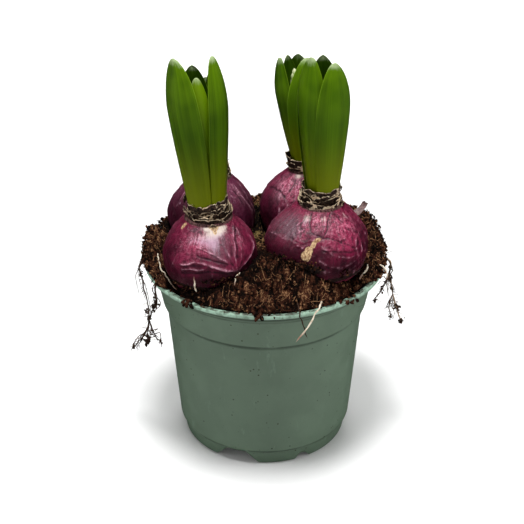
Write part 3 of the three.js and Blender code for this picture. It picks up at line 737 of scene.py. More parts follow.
def pot_wall(columns=300):
    """Wall of the pot: its closed outline turned round the axis. The foot's underside rises at the notches,
    and the wall wavers by a tenth of a millimetre, as thin moulded plastic does."""
    lip = POT_RADIUS
    corners = np.array([
        (FOOT_RADIUS - 1.8, 0), (FOOT_RADIUS, 0), (FOOT_RADIUS + 1, FOOT_HEIGHT - 0.2),
        (BODY_RADIUS_FOOT - 0.5, FOOT_HEIGHT + 0.4), (BODY_RADIUS_FOOT, FLOOR_TOP),
        (BODY_RADIUS_TOP, COLLAR_FOOT - 1.1), (BODY_RADIUS_TOP + 2, COLLAR_FOOT),
        (COLLAR_RADIUS - 1, LEDGE_HEIGHT - 0.4), (COLLAR_RADIUS - 0.75, LEDGE_HEIGHT),
        (COLLAR_RADIUS - 0.75, LEDGE_HEIGHT + 0.5), (COLLAR_RADIUS, LIP_FOOT - 0.7),
        (COLLAR_RADIUS + 0.6, LIP_FOOT - 0.1), (lip - 0.6, LIP_FOOT), (lip, LIP_FOOT + 0.5),
        (lip, POT_HEIGHT - 0.7), (lip - 0.5, POT_HEIGHT), (lip - 2.6, POT_HEIGHT),
        (lip - 3.8, POT_HEIGHT - 2), (COLLAR_RADIUS - POT_WALL, LIP_FOOT - 1.1),
        (BODY_RADIUS_TOP + 2 - POT_WALL, COLLAR_FOOT + 0.7), (BODY_RADIUS_TOP - POT_WALL, COLLAR_FOOT - 1.3),
        (BODY_RADIUS_FOOT - POT_WALL, FLOOR_TOP + 1.4), (BODY_RADIUS_FOOT - POT_WALL - 1.4, FLOOR_TOP),
        (FOOT_RADIUS - 3, FLOOR_TOP - 0.1), (FOOT_RADIUS - 3, FOOT_HEIGHT + 0.1),
        (FOOT_RADIUS - 1.4, FOOT_HEIGHT),
    ])
    outline = rounded(corners, CORNER_BEND)
    rows = []
    for point, following in zip(outline, np.roll(outline, -1, 0)):
        parts = 6 if np.linalg.norm(following - point) > 6 else 1
        rows.append(point + (following - point) * circle(parts, 1)[:, None])
    rows = np.concatenate(rows)
    azimuth = circle(columns)[None, :]
    radius = rows[:, :1]
    height = rows[:, 1:] + 0 * azimuth
    below = np.clip(1 - height / FOOT_HEIGHT, 0, 1)
    height = height + notch_depth(azimuth + 0 * height) * below
    waver = 0.12 * np.sin(np.radians(3 * azimuth + 40)) + 0.07 * np.sin(np.radians(7 * azimuth))
    points = polar(azimuth, radius + waver * ease(height, 12, 100), height)
    return Shell(points, grid_quads(len(rows), azimuth.size, True, True))


def drained_floor(rays=96, rings=9):
    """Floor of the pot: one plate with six round holes. In each sixth, rays run from the hole's edge to the
    sixth's border, where they meet the rays of the next one."""
    outer = FOOT_RADIUS - 1.8
    sector = math.pi / DRAIN_COUNT
    turns = circle(rays, 2 * math.pi) - math.pi
    ray = spots(np.cos(turns), np.sin(turns))
    hub = np.array([DRAIN_FROM_AXIS, 0.0])
    middle = hub @ ray.T
    reach = -middle + np.sqrt(middle**2 - DRAIN_FROM_AXIS**2 + outer**2)
    for side in (-1, 1):
        normal = np.array([-math.sin(sector), side * math.cos(sector)])
        facing = ray @ normal
        crossing = -(hub @ normal) / np.where(np.abs(facing) < 1e-9, 1e-9, facing)
        reach = np.where((facing > 1e-9) & (crossing < reach), crossing, reach)
    share = np.linspace(0, 1, rings)[:, None, None] ** 1.3
    flat = hub + ray[None] * (DRAIN_RADIUS + share * (reach[None, :, None] - DRAIN_RADIUS))
    flat = np.concatenate([flat, flat[::-1]])
    level = np.repeat([FLOOR_TOP, FOOT_HEIGHT], len(share))[:, None]
    plates = []
    for i in range(DRAIN_COUNT):
        angle = (i + 0.5) * 2 * sector - math.pi / 2
        x = flat[..., 0] * math.cos(angle) - flat[..., 1] * math.sin(angle)
        y = flat[..., 0] * math.sin(angle) + flat[..., 1] * math.cos(angle)
        plates.append(Shell(spots(x, y, level), grid_quads(*x.shape, True, True)))
    return merged(plates)


def pot_finish(look):
    """Grey-green plastic: mottled, scuffed, worn pale along the lip with a painted highlight there, caked
    with peat along the lip, with grains of peat on it and painted shade under its edges."""
    finish = Finish("pot_plastic", look.plastic)
    place = finish.place
    height = place.node("SeparateXYZ", {}, {0: place}, 2)
    mottle = place.noise(22, 3).step(0.38, 0.66)
    finish.coat(mottle * 0.55, look.shade)
    scuffs = place.noise(5, 5, 0.7, (1.0, 1.0, 0.25)).step(0.6, 0.78)
    finish.coat(scuffs * 0.16, look.rim)
    # The lip's pale band is partly plastic worn pale and partly a painted highlight.
    lip_rub_and_highlight = height.step(LIP_FOOT + 0.2, LIP_FOOT + 1.2) * (0.35 + 0.65 * place.noise(3, 4).step(0.38, 0.6))
    finish.coat(lip_rub_and_highlight * 0.75, look.rim)
    caked = height.step(POT_HEIGHT - 0.4, POT_HEIGHT - 0.1) * place.noise(4, 5, 0.7).step(0.42, 0.56)
    finish.coat(caked * 0.85, look.dirt)
    grains = place.cells(4.2).step(0.16, 0.06) * place.noise(17, 2).step(0.45, 0.62)
    fine = place.cells(2.1).step(0.14, 0.05) * place.noise(9, 2).step(0.5, 0.66)
    near_rim = height.step(60, 112) * 0.6 + 0.4
    dirt = grains.most(fine * near_rim)
    finish.coat(dirt * 0.85, look.dirt)
    worn = 0.6 + 0.4 * place.noise(14, 3).step(0.35, 0.65)
    # Painted shade: dark bands under the lip, in the ledge's crease, under the collar's foot and in the
    # foot's groove; the noise in worn only makes them patchy.
    under_lip = height.band(LIP_FOOT, -4.9, -3.5, -0.1, 0.5)
    crease = height.band(LEDGE_HEIGHT, -0.8, -0.2, 0.3, 0.9)
    ledge = height.band(COLLAR_FOOT, -3.3, -1.4, 0.3, 1.0)
    groove = height.band(FOOT_HEIGHT, -0.6, 0.2, 1.4, 2.4)
    shadowed = under_lip * 0.75 + (crease * 0.45 + ledge * 0.7 + groove * 0.55) * worn
    finish.coat(shadowed, tint(36, 46, 38))
    smear = place.noise(12, 4, 0.6).step(0.52, 0.75) * height.step(98, 113)
    finish.coat(smear * 0.3, look.dirt)
    finish.bump(place.noise(1.3, 3) * 0.35 + place.noise(9, 2) * 0.5 + dirt * 0.5, 0.22, 0.55)
    return finish.done(look.roughness + 0.4 * dirt + 0.12 * mottle, 0.42)


# Soil


def heaped(x, y, heaps):
    """Height of round heaps: each is a bell curve of the distance from its middle."""
    return sum(rise * np.exp(-((np.hypot(x - a, y - b) / reach) ** 2)) for a, b, reach, rise in heaps)


def soil_height(x, y):
    """Smooth top of the soil: a low crown that falls off with the radius cubed, and a few round heaps."""
    crown = SOIL_EDGE + SOIL_CROWN * (1 - (np.hypot(x, y) / SOIL_REACH) ** 3)
    slow = np.sin(0.31 * x + 1.3) * np.sin(0.27 * y + 0.4)
    quick = np.sin(0.63 * x + 0.5 * y) * np.sin(0.71 * y - 0.34 * x + 2)
    return crown + heaped(x, y, SOIL_HEAPS) + 0.8 * slow + 0.7 * quick


def crumb_caps(x, y, size, seed):
    """Height and tone of round crumbs on a jittered grid: at each place the highest of the nearest domes."""
    home = np.floor(spots(x, y) / size)
    best = np.zeros_like(x)
    tone = np.zeros_like(x)
    for step in np.ndindex(3, 3):
        cell = home + np.array(step) - 1
        keyed = spots(cell[..., 0], cell[..., 1], 0)
        hub = (cell + spots(scatter(keyed, seed), scatter(keyed, seed + 1))) * size
        reach = size * (0.38 + 0.42 * scatter(keyed, seed + 2))
        away = np.linalg.norm(spots(x, y) - hub, axis=-1) / reach
        dome = np.sqrt(np.clip(1 - away**2, 0, None)) * reach * 0.85
        tone = np.where(dome > best, scatter(keyed, seed + 3), tone)
        best = np.maximum(best, dome)
    return best, tone


def full_drop(plant):
    """Half height of the ellipse that a bulb follows below its girth, cut off at the basal plate."""
    return BASAL_DROP / math.sin(math.acos(BASAL_RADIUS / plant.radius))


def under_bulbs(x, y, height, clearance=0.3):
    """Lowers a height to stay under every bulb."""
    for plant in PLANTS.values():
        away = np.hypot(x - plant.x, y - plant.y) / (plant.radius + clearance)
        skin = plant.z - full_drop(plant) * np.sqrt(np.clip(1 - away**2, 0, None))
        skin = np.maximum(skin, plant.z - BASAL_DROP) - clearance
        height = np.where(away < 1, np.minimum(height, skin), height)
    return height


def soil_top(x, y):
    """Top of the peat: the smooth mound, clods, two sizes of crumbs and a fine roughness, under the bulbs,
    and its tone, darkened by painted shade where the peat lies under a bulb.
    """
    flat = spots(x, y, 0)
    clods = 1.3 * rough(flat, 11, 3)
    large, large_tone = crumb_caps(x, y, LARGE_CRUMBS, 5)
    small, small_tone = crumb_caps(x + 0.4 * large, y, SMALL_CRUMBS, 11)
    ragged = 0.9 * rough(flat, 3.4, 31) + 0.45 * rough(flat, 1.5, 21)
    radius = np.hypot(x, y)
    banks = heaped(x, y, PEAT_BANKS) * ease(radius, 68, 58)
    sides = (2.4 * spilled(azimuth_of(x, y)) + 0.5) * ease(radius, 58, 65)
    height = soil_height(x, y) + banks + sides + clods + 0.55 * large + 0.75 * small + ragged - 0.7
    tone = 0.45 * small_tone + 0.25 * large_tone + 0.3 * ease(0.5 * large + small, 0.2, 2.2)
    lowered = under_bulbs(x, y, height)
    # Painted shade: the tone darkens where the peat is lowered to pass under a bulb.
    return lowered, tone * (1 - 0.8 * ease(height - lowered, 0.2, 3))


def soil_edge(azimuth):
    """Radius that the peat reaches: it spills over the lip where a heap stands higher than the lip."""
    away = polar(azimuth, LIP_START, 0.0)
    high = soil_height(away[..., 0], away[..., 1])
    ragged = ripple(4, [9, 17, 31], azimuth)
    over = np.maximum(ease(high, POT_HEIGHT - 0.4, POT_HEIGHT + 2.2), spilled(azimuth))
    return SOIL_RIM + (2.6 * over + 1.9 * spilled(azimuth)) * (0.85 + 0.2 * ragged)


def spilled(azimuth):
    """1 on the two sides where peat lies over the lip, 0 elsewhere."""
    left = ease(np.abs(turn_apart(azimuth, SPILL_LEFT)), 43, 35)
    right = ease(np.abs(turn_apart(azimuth, SPILL_RIGHT)), 42, 34)
    return np.maximum(left, right)


def soil_shell(count=198):
    """Body of peat. Its top is a square grid pressed into a disc, so that its faces stay alike: x times the
    root of 1 - y^2/2 and the reverse. From its border a skirt runs down inside the pot to the floor."""
    u = np.linspace(-1, 1, count)[None, :]
    v = u.T
    x = u * np.sqrt(1 - v**2 / 2)
    y = v * np.sqrt(1 - u**2 / 2)
    reach = soil_edge(azimuth_of(x, y))
    x = x * reach
    y = y * reach
    height, tone = soil_top(x, y)
    tone = tone * contact_shade_share(x, y)
    radius = np.hypot(x, y)
    over_lip = ease(radius, 65.4, 66.6)
    height = np.maximum(height, SPILL_LEVEL) * over_lip + height * (1 - over_lip)
    near_edge = ease(radius / reach, 0.975, 1.0)
    rest = np.where(reach > LIP_START, SPILL_LEVEL, np.clip(height, 113.6, 114.7))
    height = height * (1 - near_edge) + rest * near_edge
    top = spots(x, y, height).reshape(-1, 3)
    number = np.arange(count * count).reshape(count, count)
    border = np.concatenate([number[0, :-1], number[:-1, -1], number[-1, :0:-1], number[:0:-1, 0]])
    edge_x, edge_y, edge_z = top[border].T
    edge_radius = np.hypot(edge_x, edge_y)
    angle = azimuth_of(edge_x, edge_y)
    skirt = []
    quads = [grid_quads(count, count)]
    upper = border
    for limit, level in SOIL_SKIRT:
        lower = number.size + len(skirt) * len(border) + np.arange(len(border))
        skirt.append(polar(angle, np.minimum(edge_radius, limit), np.minimum(edge_z, level)))
        quads.append(np.stack([upper, lower, np.roll(lower, -1), np.roll(upper, -1)], -1))
        upper = lower
    fan = spots(upper, upper[-1] + 1, np.roll(upper, -1))
    points = np.concatenate([top, *skirt, [(0, 0, SOIL_SKIRT[-1][1])]])
    tones = np.concatenate([tone.ravel(), np.full(len(points) - len(top), 0.2)])
    return Shell(points, np.concatenate(quads), fan, {"tone": tones})


def room_from_bulbs(x, y):
    """How far a place on the soil is from the nearest bulb's skin at that height; below 0 under a bulb."""
    room = np.full(x.shape, POT_RADIUS)
    for plant in PLANTS.values():
        level = np.clip((plant.z - soil_height(x, y) - 1) / full_drop(plant), 0, 1)
        contact = plant.radius * np.sqrt(1 - level**2)
        room = np.minimum(room, np.hypot(x - plant.x, y - plant.y) - contact)
    return room


def contact_shade_share(x, y):
    """Share of its tone that peat keeps: painted shade darkens it close to the bulbs."""
    return 0.25 + 0.75 * ease(room_from_bulbs(x, y), 0.5, 9)


def loose_places(number, random, margin):
    """Random places on the soil that bulbs leave free."""
    azimuth = random.uniform(0, 360, 4 * number)
    radius = soil_edge(azimuth) * np.sqrt(random.random(4 * number)) * 0.995
    x, y, _ = polar(azimuth, radius, 0.0).T
    free = room_from_bulbs(x, y) > margin
    return x[free][:number], y[free][:number]


def soil_crumbs(number):
    """Loose crumbs of peat on the soil and against the bulbs, most of them small, and a few on the lip."""
    random = np.random.default_rng(7)
    x, y = loose_places(number, random, 0.4)
    size = 0.24 + 0.9 * random.random(len(x)) ** 3
    height = soil_top(x, y)[0] + 0.45 * size
    tone = random.uniform(0.1, 1, len(x)) ** 1.3 * contact_shade_share(x, y)
    body = [lumps(spots(x, y, height), size, random, tone)]
    clumps = np.concatenate([random.normal(*clump) for clump in LIP_CLUMPS])
    in_clumps = len(clumps)
    azimuth = np.concatenate([clumps, *(random.uniform(*stretch) for stretch in LIP_CRUMBS)])
    on_lip = random.uniform(66.4, 70.2, len(azimuth))
    on_lip[:in_clumps] = random.uniform(67.5, 71.2, in_clumps)
    level = np.where(on_lip > 69.6, POT_HEIGHT - random.uniform(0, 2.2, len(azimuth)), POT_HEIGHT + 0.35)
    size = random.uniform(0.35, 0.8, len(azimuth))
    size[:in_clumps] = random.uniform(0.6, 1.5, in_clumps)
    body.append(lumps(polar(azimuth, on_lip, level), size, random, random.uniform(0.2, 0.8, len(azimuth))))
    body.append(bank_crumbs(random, SPILL_CRUMBS))
    body.extend(clinging_crumbs(random, *patch) for patch in CLINGING_PATCHES)
    return merged(body)


def bank_places(random, number):
    """Places on the two banks of peat that spill over the lip, most of them at or just past the outside."""
    side = random.random(number) < 0.5
    left = random.normal(SPILL_LEFT, SPILL_SPREAD, number)
    right = random.normal(SPILL_RIGHT, SPILL_SPREAD, number)
    azimuth = np.where(side, left, right)
    azimuth = np.clip(azimuth, np.where(side, -132, 60), np.where(side, -54, 138))
    radius = soil_edge(azimuth) - 4 * random.random(number) ** 2 + random.uniform(-0.3, 1.2, number)
    x, y, _ = polar(azimuth, np.minimum(radius, soil_edge(azimuth) - 2.2), 0.0).T
    top = soil_top(x, y)[0]
    outside = ease(radius, soil_edge(azimuth) - 1.5, soil_edge(azimuth) + 1)
    return polar(azimuth, radius, top - outside * (top - POT_HEIGHT) * random.random(number))


def bank_crumbs(random, number):
    """Crumbs that make the outsides of the two side banks ragged."""
    size = 0.3 + 1.0 * random.random(number) ** 2.2
    return lumps(bank_places(random, number), size, random, random.uniform(0, 0.9, number))


def clinging_crumbs(random, name, azimuth, wide, tilt, tall, number):
    """Crumbs that stick to a bulb's skin, spread by bell curves round a place given by azimuth and tilt."""
    plant = PLANTS[name]
    turned = random.normal(azimuth, wide * 0.6, number)
    level = tilt - tall * np.abs(random.normal(0, 1, number)) + random.uniform(0, tall, number)
    radius, height, above = bulb_outline(plant, np.radians(level))
    radius = radius + bulge_rise(plant.bulge, turned, level) + 0.1
    places = polar(turned, radius, plant.z + height, plant.x + plant.shift * above**2, plant.y)
    size = 0.2 + 0.75 * random.random(number) ** 2.4
    return lumps(places, size, random, random.uniform(0, 0.8, number))


def soil_fibres(number):
    """Loose fibres: thin bent tubes that lie on the peat, most of them short, a few long and pale."""
    random = np.random.default_rng(19)
    x, y = loose_places(number, random, 1.0)
    number = len(x)
    length = 1.4 + 6.5 * random.random(number) ** 3.5
    heading = random.uniform(0, 2 * math.pi, number)
    share = np.linspace(-0.5, 0.5, 6)[None, :]
    bend = random.uniform(-1, 1, number)[:, None]
    angle = heading[:, None] + bend * share
    path_x = x[:, None] + length[:, None] * share * np.cos(angle)
    path_y = y[:, None] + length[:, None] * share * np.sin(angle)
    inward = np.minimum(1, 69.5 / np.maximum(np.hypot(path_x, path_y), 1e-6))
    path_x, path_y = path_x * inward, path_y * inward
    lift = 0.35 + random.uniform(-0.2, 0.9, number)[:, None] * (0.3 + np.abs(share))
    path_z = soil_top(path_x, path_y)[0] + lift
    path_z = np.maximum(path_z, soil_top(x, y)[0][:, None] - 0.4)
    radius = random.uniform(0.07, 0.19, number)[:, None] * (1 - 1.2 * share**2)
    tone = random.uniform(0.1, 1.4, number) * contact_shade_share(x, y)
    lying = strands(spots(path_x, path_y, path_z), radius, 3, {"tone": tone})
    return merged([lying, bank_fibres(random, SPILL_FIBRES)])


def bank_fibres(random, number):
    """Short bent fibres that stick out of the two side banks in all directions."""
    start = bank_places(random, number)
    outward = start * np.array([1, 1, 0]) / 68
    away = random.normal(size=(number, 3)) * np.array([1, 1, 0.8])
    away = unit(away + 0.5 * outward + np.array([0, 0, 0.3]))
    length = 1 + 2.6 * random.random(number) ** 2
    bend = random.normal(size=(number, 3)) * 0.4
    paths, share = bent_paths(start, away, length, bend, 5)
    radius = random.uniform(0.09, 0.22, number)[:, None] * (1.1 - 0.7 * share)
    return strands(paths, radius, 3, {"tone": random.uniform(0, 1.1, number)})


def soil_finish(look):
    """Peat: dark in its hollows and where its tone holds painted shade by and under the bulbs, brown and tan
    on its crumbs, greener at one place at the back.
    """
    finish = Finish("peat", look.dark)
    place = finish.place
    tone = finish.value("tone")
    grain = place.noise(0.9, 4, 0.65)
    patch = place.noise(9, 3).step(0.3, 0.7)
    hollow = place.noise(3.6, 4, 0.6)
    level = tone * 0.75 + grain * 0.9 + patch * 0.12 + hollow * 0.8 - 1.1
    finish.coat(level.step(0.0, 0.36), look.brown)
    finish.coat(level.step(0.36, 0.8) * 0.88, look.light)
    from_moss = place.node("VectorMath", {"operation": "DISTANCE"}, {0: place, 1: MOSS_MIDDLE}, "Value")
    finish.coat(from_moss.step(30, 10) * level.step(0.05, 0.45) * 0.55, look.moss)
    threads = place.noise(2.2, 4, 0.6, (1.0, 0.35, 1.0)).step(0.61, 0.68)
    finish.coat(threads * 0.4, look.light)
    finish.bump(place.noise(0.55, 4, 0.7) + 0.6 * place.cells(0.9), 0.55, 0.9)
    return finish.done(0.85 + 0.15 * grain, 0.1)


# Bulbs

# Marks on each bulb's skin: azimuth, tilt above the girth, width, height and strength
# Pink marks stand partly for painted highlight, deep marks partly for painted shade, and pale marks low on
# the skin come out as a painted sheen; the same holds for BACK_MARKS.
BULB_MARKS = {
    "front_left": {
        "crinkle": 0.4, "violet": 0.1, "smooth": (8, 50, 16, 14),
        "pink": [(-10, 44, 20, 15, 1.0), (-28, 18, 18, 10, 0.4), (52, 34, 12, 24, 0.5), (32, 8, 12, 8, 0.5)],
        "grey": [(20, 46, 18, 18, 0.9), (16, 26, 14, 12, 0.6), (-20, 66, 24, 12, 0.4)],
        "pale": [(0, 74, 16, 9, 0.8), (34, 72, 14, 10, 0.8), (17, 60, 20, 9, 0.75), (4, 48, 17, 10, 0.6),
                 (8, 36, 12, 9, 0.35), (-22, 46, 16, 13, 0.42)],
        "bare": [(15, 82, 16, 7, 1.0), (15, 72, 8, 7, 1.0), (15, 62, 4, 5, 0.9), (-60, 66, 5, 11, 0.9)],
        "deep": [(-68, 10, 30, 44, 0.7), (5, -12, 70, 12, 1.0), (62, 0, 16, 16, 0.6), (60, 52, 12, 14, 0.5),
                 (34, -9, 34, 11, 1.0)],
        "dirt": [(-20, -24, 60, 8, 0.9), (44, -14, 20, 8, 0.8)],
    },
    "front_right": {
        "crinkle": 1.0, "violet": 0.0, "smooth": (-5, 54, 9, 14),
        "pink": [(36, 44, 24, 20, 0.75), (-5, 60, 13, 13, 1.0), (-30, 46, 9, 20, 0.8), (16, 22, 18, 8, 0.4)],
        "grey": [(-64, 46, 26, 18, 1.0), (-44, 38, 14, 11, 0.9), (-6, 40, 12, 6, 0.6)],
        "pale": [(-30, 58, 12, 11, 0.6), (4, 62, 12, 8, 0.45), (52, 58, 8, 10, 0.45)],
        "bare": [(-4, 33, 4.5, 3, 0.85), (-9, 28, 3.4, 4, 0.9), (-14, 20, 4.5, 5, 1.0), (-17, 12, 6, 6, 1.0)],
        "deep": [(-60, 4, 32, 18, 1.0), (-26, 4, 24, 14, 1.0), (30, -10, 56, 16, 1.0), (4, 16, 12, 10, 0.5),
                 (80, 20, 14, 40, 0.7)],
        "dirt": [(-20, -4, 26, 9, 1.0), (-50, -10, 40, 9, 0.9), (30, -24, 50, 7, 0.9)],
    },
    "back_left": {
        "crinkle": 0.5, "violet": 0.8, "smooth": (0, 80, 9, 9),
        "pink": [(54, 52, 12, 16, 0.6), (150, 30, 30, 20, 0.5)],
        "grey": [(78, 36, 14, 30, 0.5), (-62, 40, 24, 24, 0.3), (56, 44, 10, 16, 0.35)],
        "pale": [(-52, 70, 14, 10, 1.0), (-57, 30, 3, 3, 0.5)],
        "deep": [(70, 16, 30, 26, 1.0), (-56, 14, 46, 34, 1.0)],
        "dirt": [(0, -22, 180, 8, 0.8)],
    },
    "back_right": {
        "crinkle": 0.6, "violet": 0.3, "smooth": (0, 80, 9, 9),
        "pink": [(-36, 52, 30, 20, 1.0), (-10, 40, 12, 20, 0.7), (24, 44, 18, 20, 0.4),
                 (170, 30, 30, 20, 0.5)],
        "grey": [(-22, 62, 9, 18, 0.7), (-44, 34, 14, 10, 0.5), (-64, 50, 12, 18, 0.4)],
        "pale": [(-18, 74, 16, 9, 0.7), (-34, 58, 8, 8, 0.3)],
        "deep": [(-56, 8, 24, 20, 0.95), (10, 0, 40, 20, 0.7)],
        "dirt": [(0, -22, 180, 8, 0.8)],
    },
}
# Creases: width in degrees, rise in millimetres, negative for a furrow, and a line of azimuths and tilts
CREASES = {
    "front_left": [
        (1.9, 0.8, [(75, 71), (52, 55), (42, 39), (35, 23), (35, 9), (37, 1)]),
        (2.2, 1.0, [(37, 1), (24, 4), (9, 11), (2, 14), (-7, 17), (-19, 18), (-34, 12)]),
        (1.8, 0.7, [(4, 13), (-3, 9), (-12, 7), (-22, 8), (-32, 4)]),
        (1.9, 0.7, [(33, 2), (22, 18), (10, 28), (-1, 33), (-16, 38)]),
        (1.8, 0.9, [(41, 1), (52, 7), (64, 14), (75, 21), (82, 32)]),
        (1.6, 0.6, [(39, 4), (47, 16), (51, 30), (58, 41), (66, 58)]),
        (1.4, 0.5, [(37, 3), (29, 16), (26, 30)]),
        (2.1, 0.5, [(-46, 66), (-42, 43), (-41, 28), (-46, 8)]),
        (1.6, 0.5, [(40, -1), (52, -4), (64, -3)]),
        (2.4, -0.7, [(30, 10), (18, 15), (4, 21), (-14, 25)]),
        (2.1, -0.6, [(30, 0), (14, 3), (2, 5), (-14, 1), (-32, -2)]),
        (1.9, -0.5, [(40, 20), (46, 38), (58, 52)]),
    ],
    "front_right": [
        (1.5, -0.8, [(-25, 78), (-24, 55), (-17, 42), (1, 34), (9, 45), (10, 57), (20, 72)]),
        (1.4, -0.4, [(-20, 49), (-1, 51), (9, 47)]),
        (1.9, -0.7, [(1, 34), (12, 33), (22, 31), (32, 25), (43, 18), (55, 19)]),
        (2.1, 0.5, [(-49, 64), (-51, 48), (-45, 36), (-34, 29), (-20, 28), (-8, 33)]),
        (2.1, 0.45, [(-84, 25), (-63, 28), (-46, 27), (-28, 23), (-18, 21)]),
        (1.2, 0.55, [(1, 24), (10, 19), (17, 13), (29, 9), (45, 9)]),
        (1.2, 0.55, [(0, 9), (13, 1), (25, -3), (40, 1), (54, 8)]),
        (1.1, 0.4, [(6, -6), (24, -11), (42, -7)]),
        (1.3, 0.5, [(50, 2), (58, 12), (61, 26), (56, 44)]),
        (1.0, 0.4, [(24, 58), (32, 44), (44, 36), (56, 34)]),
        (1.0, 0.4, [(14, 50), (26, 44), (30, 34)]),
        (1.4, -0.4, [(34, 62), (40, 50), (52, 46)]),
        (1.9, -0.6, [(-34, 62), (-36, 48), (-30, 36)]),
        (1.4, 0.4, [(-30, 60), (-28, 48), (-24, 38)]),
        (1.6, -0.5, [(4, 20), (18, 18), (32, 15), (48, 14)]),
    ],
    "back_left": [
        (2.1, 0.6, [(92, 62), (79, 43), (73, 28), (76, 8)]),
        (1.8, 0.6, [(62, 60), (60, 42), (64, 26), (70, 10)]),
        (1.8, -0.5, [(52, 50), (54, 30), (60, 14)]),
        (1.9, 0.6, [(-56, 66), (-61, 45), (-60, 30), (-64, 10)]),
        (1.6, 0.5, [(-80, 40), (-72, 24), (-60, 16)]),
    ],
    "back_right": [
        (1.9, -0.6, [(-80, 36), (-60, 39), (-42, 38), (-26, 33)]),
        (1.9, 0.6, [(-49, 66), (-44, 50), (-41, 40)]),
        (1.8, 0.7, [(-26, 33), (-16, 20), (-8, 4)]),
        (1.8, 0.6, [(-11, 74), (-9, 50), (-18, 38), (-28, 30)]),
        (1.6, 0.5, [(-40, 36), (-34, 22), (-30, 8)]),
        (1.6, -0.4, [(-24, 70), (-22, 54), (-26, 42)]),
    ],
}
# Marks on the sides that face away are alike on every bulb
BACK_MARKS = {
    "pink": [(120, 25, 30, 24, 0.5), (-130, 35, 30, 20, 0.45)],
    "grey": [(170, 48, 34, 20, 0.6), (-105, 20, 20, 30, 0.4)],
    "pale": [(-150, 60, 18, 8, 0.6)],
    "bare": [(140, 8, 5, 9, 0.7)],
    "deep": [(160, -4, 60, 20, 0.6)],
    "dirt": [(180, -24, 90, 8, 0.8)],
}
BACK_CREASES = [
    (2.1, 0.7, [(110, 70), (118, 40), (128, 12), (132, -8)]),
    (1.9, 0.6, [(132, -2), (146, 10), (160, 26), (168, 48)]),
    (1.9, -0.5, [(120, 30), (136, 24), (150, 14)]),
    (2.1, 0.6, [(-100, 60), (-112, 34), (-124, 14), (-128, -6)]),
    (1.8, 0.6, [(-126, 4), (-144, 16), (-160, 20)]),
    (1.8, -0.5, [(-150, 60), (-146, 40), (-156, 22)]),
    (1.9, 0.6, [(-172, 66), (-178, 40), (176, 16), (178, -6)]),
]


def mark_strength(marks, azimuth, tilt):
    """Sum of soft oval marks, each a bell curve across and up the skin."""
    total = np.zeros(np.broadcast(azimuth, tilt).shape)
    for middle, level, wide, tall, strength in marks:
        across = turn_apart(azimuth, middle) / wide
        total = total + strength * np.exp(-(across**2) - ((tilt - level) / tall) ** 2)
    return np.clip(total, 0, 1)


def bulb_outline(plant, tilt):
    """Radius, height above the girth and share of the shoulder for a tilt in radians. Below the girth the
    outline is part of an ellipse, above it the radius nears the neck's with a power of the cosine."""
    rise = plant.top - 1 - plant.z
    above = np.clip(np.sin(tilt), 0, None)
    height = np.where(tilt < 0, full_drop(plant) * np.sin(tilt), rise * above)
    cosine = np.clip(np.cos(tilt), 0, None)
    shoulder = plant.neck + (plant.radius - plant.neck) * cosine**SHOULDER
    return np.where(tilt < 0, plant.radius * cosine, shoulder), height, above


def bulge_rise(bulge, azimuth, tilt):
    """How far a bulb's bulge stands out, for a tilt in degrees: a bell curve both ways."""
    middle, level, rise = bulge
    across = turn_apart(azimuth, middle) / BULGE_WIDTH
    return rise * np.exp(-(across**2) - ((tilt - level) / BULGE_TALL) ** 2)


def crease_relief(creases, azimuth, tilt):
    """Ridges and furrows along drawn lines, for a tilt in degrees. At each place the strongest of both count.
    They fall off like a bell curve with the distance to the line, azimuths shortened by the tilt's cosine."""
    ridge = np.zeros(azimuth.shape)
    furrow = np.zeros(azimuth.shape)
    squeeze = np.maximum(np.cos(np.radians(tilt)), 0.12)
    for width, rise, points in creases:
        for (start, low), (end, high) in zip(points, points[1:]):
            x = turn_apart(azimuth, start) * squeeze
            y = tilt - low
            run = turn_apart(end, start) * squeeze
            climb = high - low
            share = np.clip((x * run + y * climb) / (run**2 + climb**2), 0, 1)
            away = np.hypot(x - share * run, y - share * climb) / width
            bell = rise * np.exp(-1.6 * away**1.4)
            ridge = np.maximum(ridge, bell)
            furrow = np.minimum(furrow, bell)
    return ridge + furrow


def bulb_relief(name, plant, azimuth, tilt, height, wrinkles):
    """How far the skin stands out: the solid's broad folds, drawn creases, a net of crinkles, ribs from plate
    to neck, and the step where an outer skin ends."""
    angle = np.radians(azimuth)
    degrees = np.degrees(tilt)
    broad = FOLD_RELIEF * ripple(plant.x, [2, 3, 5], azimuth)
    broad = broad + DENT_RELIEF * ripple(plant.y + 50, [4, 7], azimuth + 1.2 * height)
    skin = spots(plant.radius * np.cos(angle), plant.radius * np.sin(angle), 1.15 * height)
    wander = 2.2 * noise(skin, 7, 61)
    drawn = CREASES[name] + BACK_CREASES
    creases = crease_relief(drawn, azimuth + wander, degrees + 1.6 * noise(skin, 6, 67))
    creases = creases * (0.75 + 0.35 * noise(skin, 5, 71))
    net = ridges(skin + 1.5 * noise(skin, 8, 3)[..., None], 8, 17, 8) + 0.7 * ridges(skin, 4.2, 23, 6)
    long_crests = ridges(skin * np.array([1, 1, 0.45]), 6.5, 41, 8)
    lit = mark_strength(BULB_MARKS[name]["pink"], azimuth, degrees)
    lit = lit * (1 - mark_strength([(*BULB_MARKS[name]["smooth"], 1.0)], azimuth, degrees))
    creped = 0.5 * (ridges(skin, 3.4, 29, 4) + 0.5 * ridges(skin, 2.0, 37, 3) - 0.4) * lit
    loose_edge = turn_apart(azimuth, 95 + 0.5 * degrees + 9 * noise(skin, 14, 51))
    layer = 0.35 * ease(loose_edge, -1.2, 1.2) * ease(loose_edge, 150, 90)
    where = 0.35 + 0.65 * ease(noise(skin, 15, 77), -0.3, 0.4)
    relief = creases + BULB_MARKS[name]["crinkle"] * (0.5 * net * where + creped) + 0.25 * long_crests - 0.4
    fade = np.cos(tilt) ** 2
    fine = wrinkles * 1000 / 0.6 * relief * np.clip(np.cos(tilt) * 2.2, 0, 1) + layer * fade
    return broad * fade + fine * ease(degrees, -50, -25)


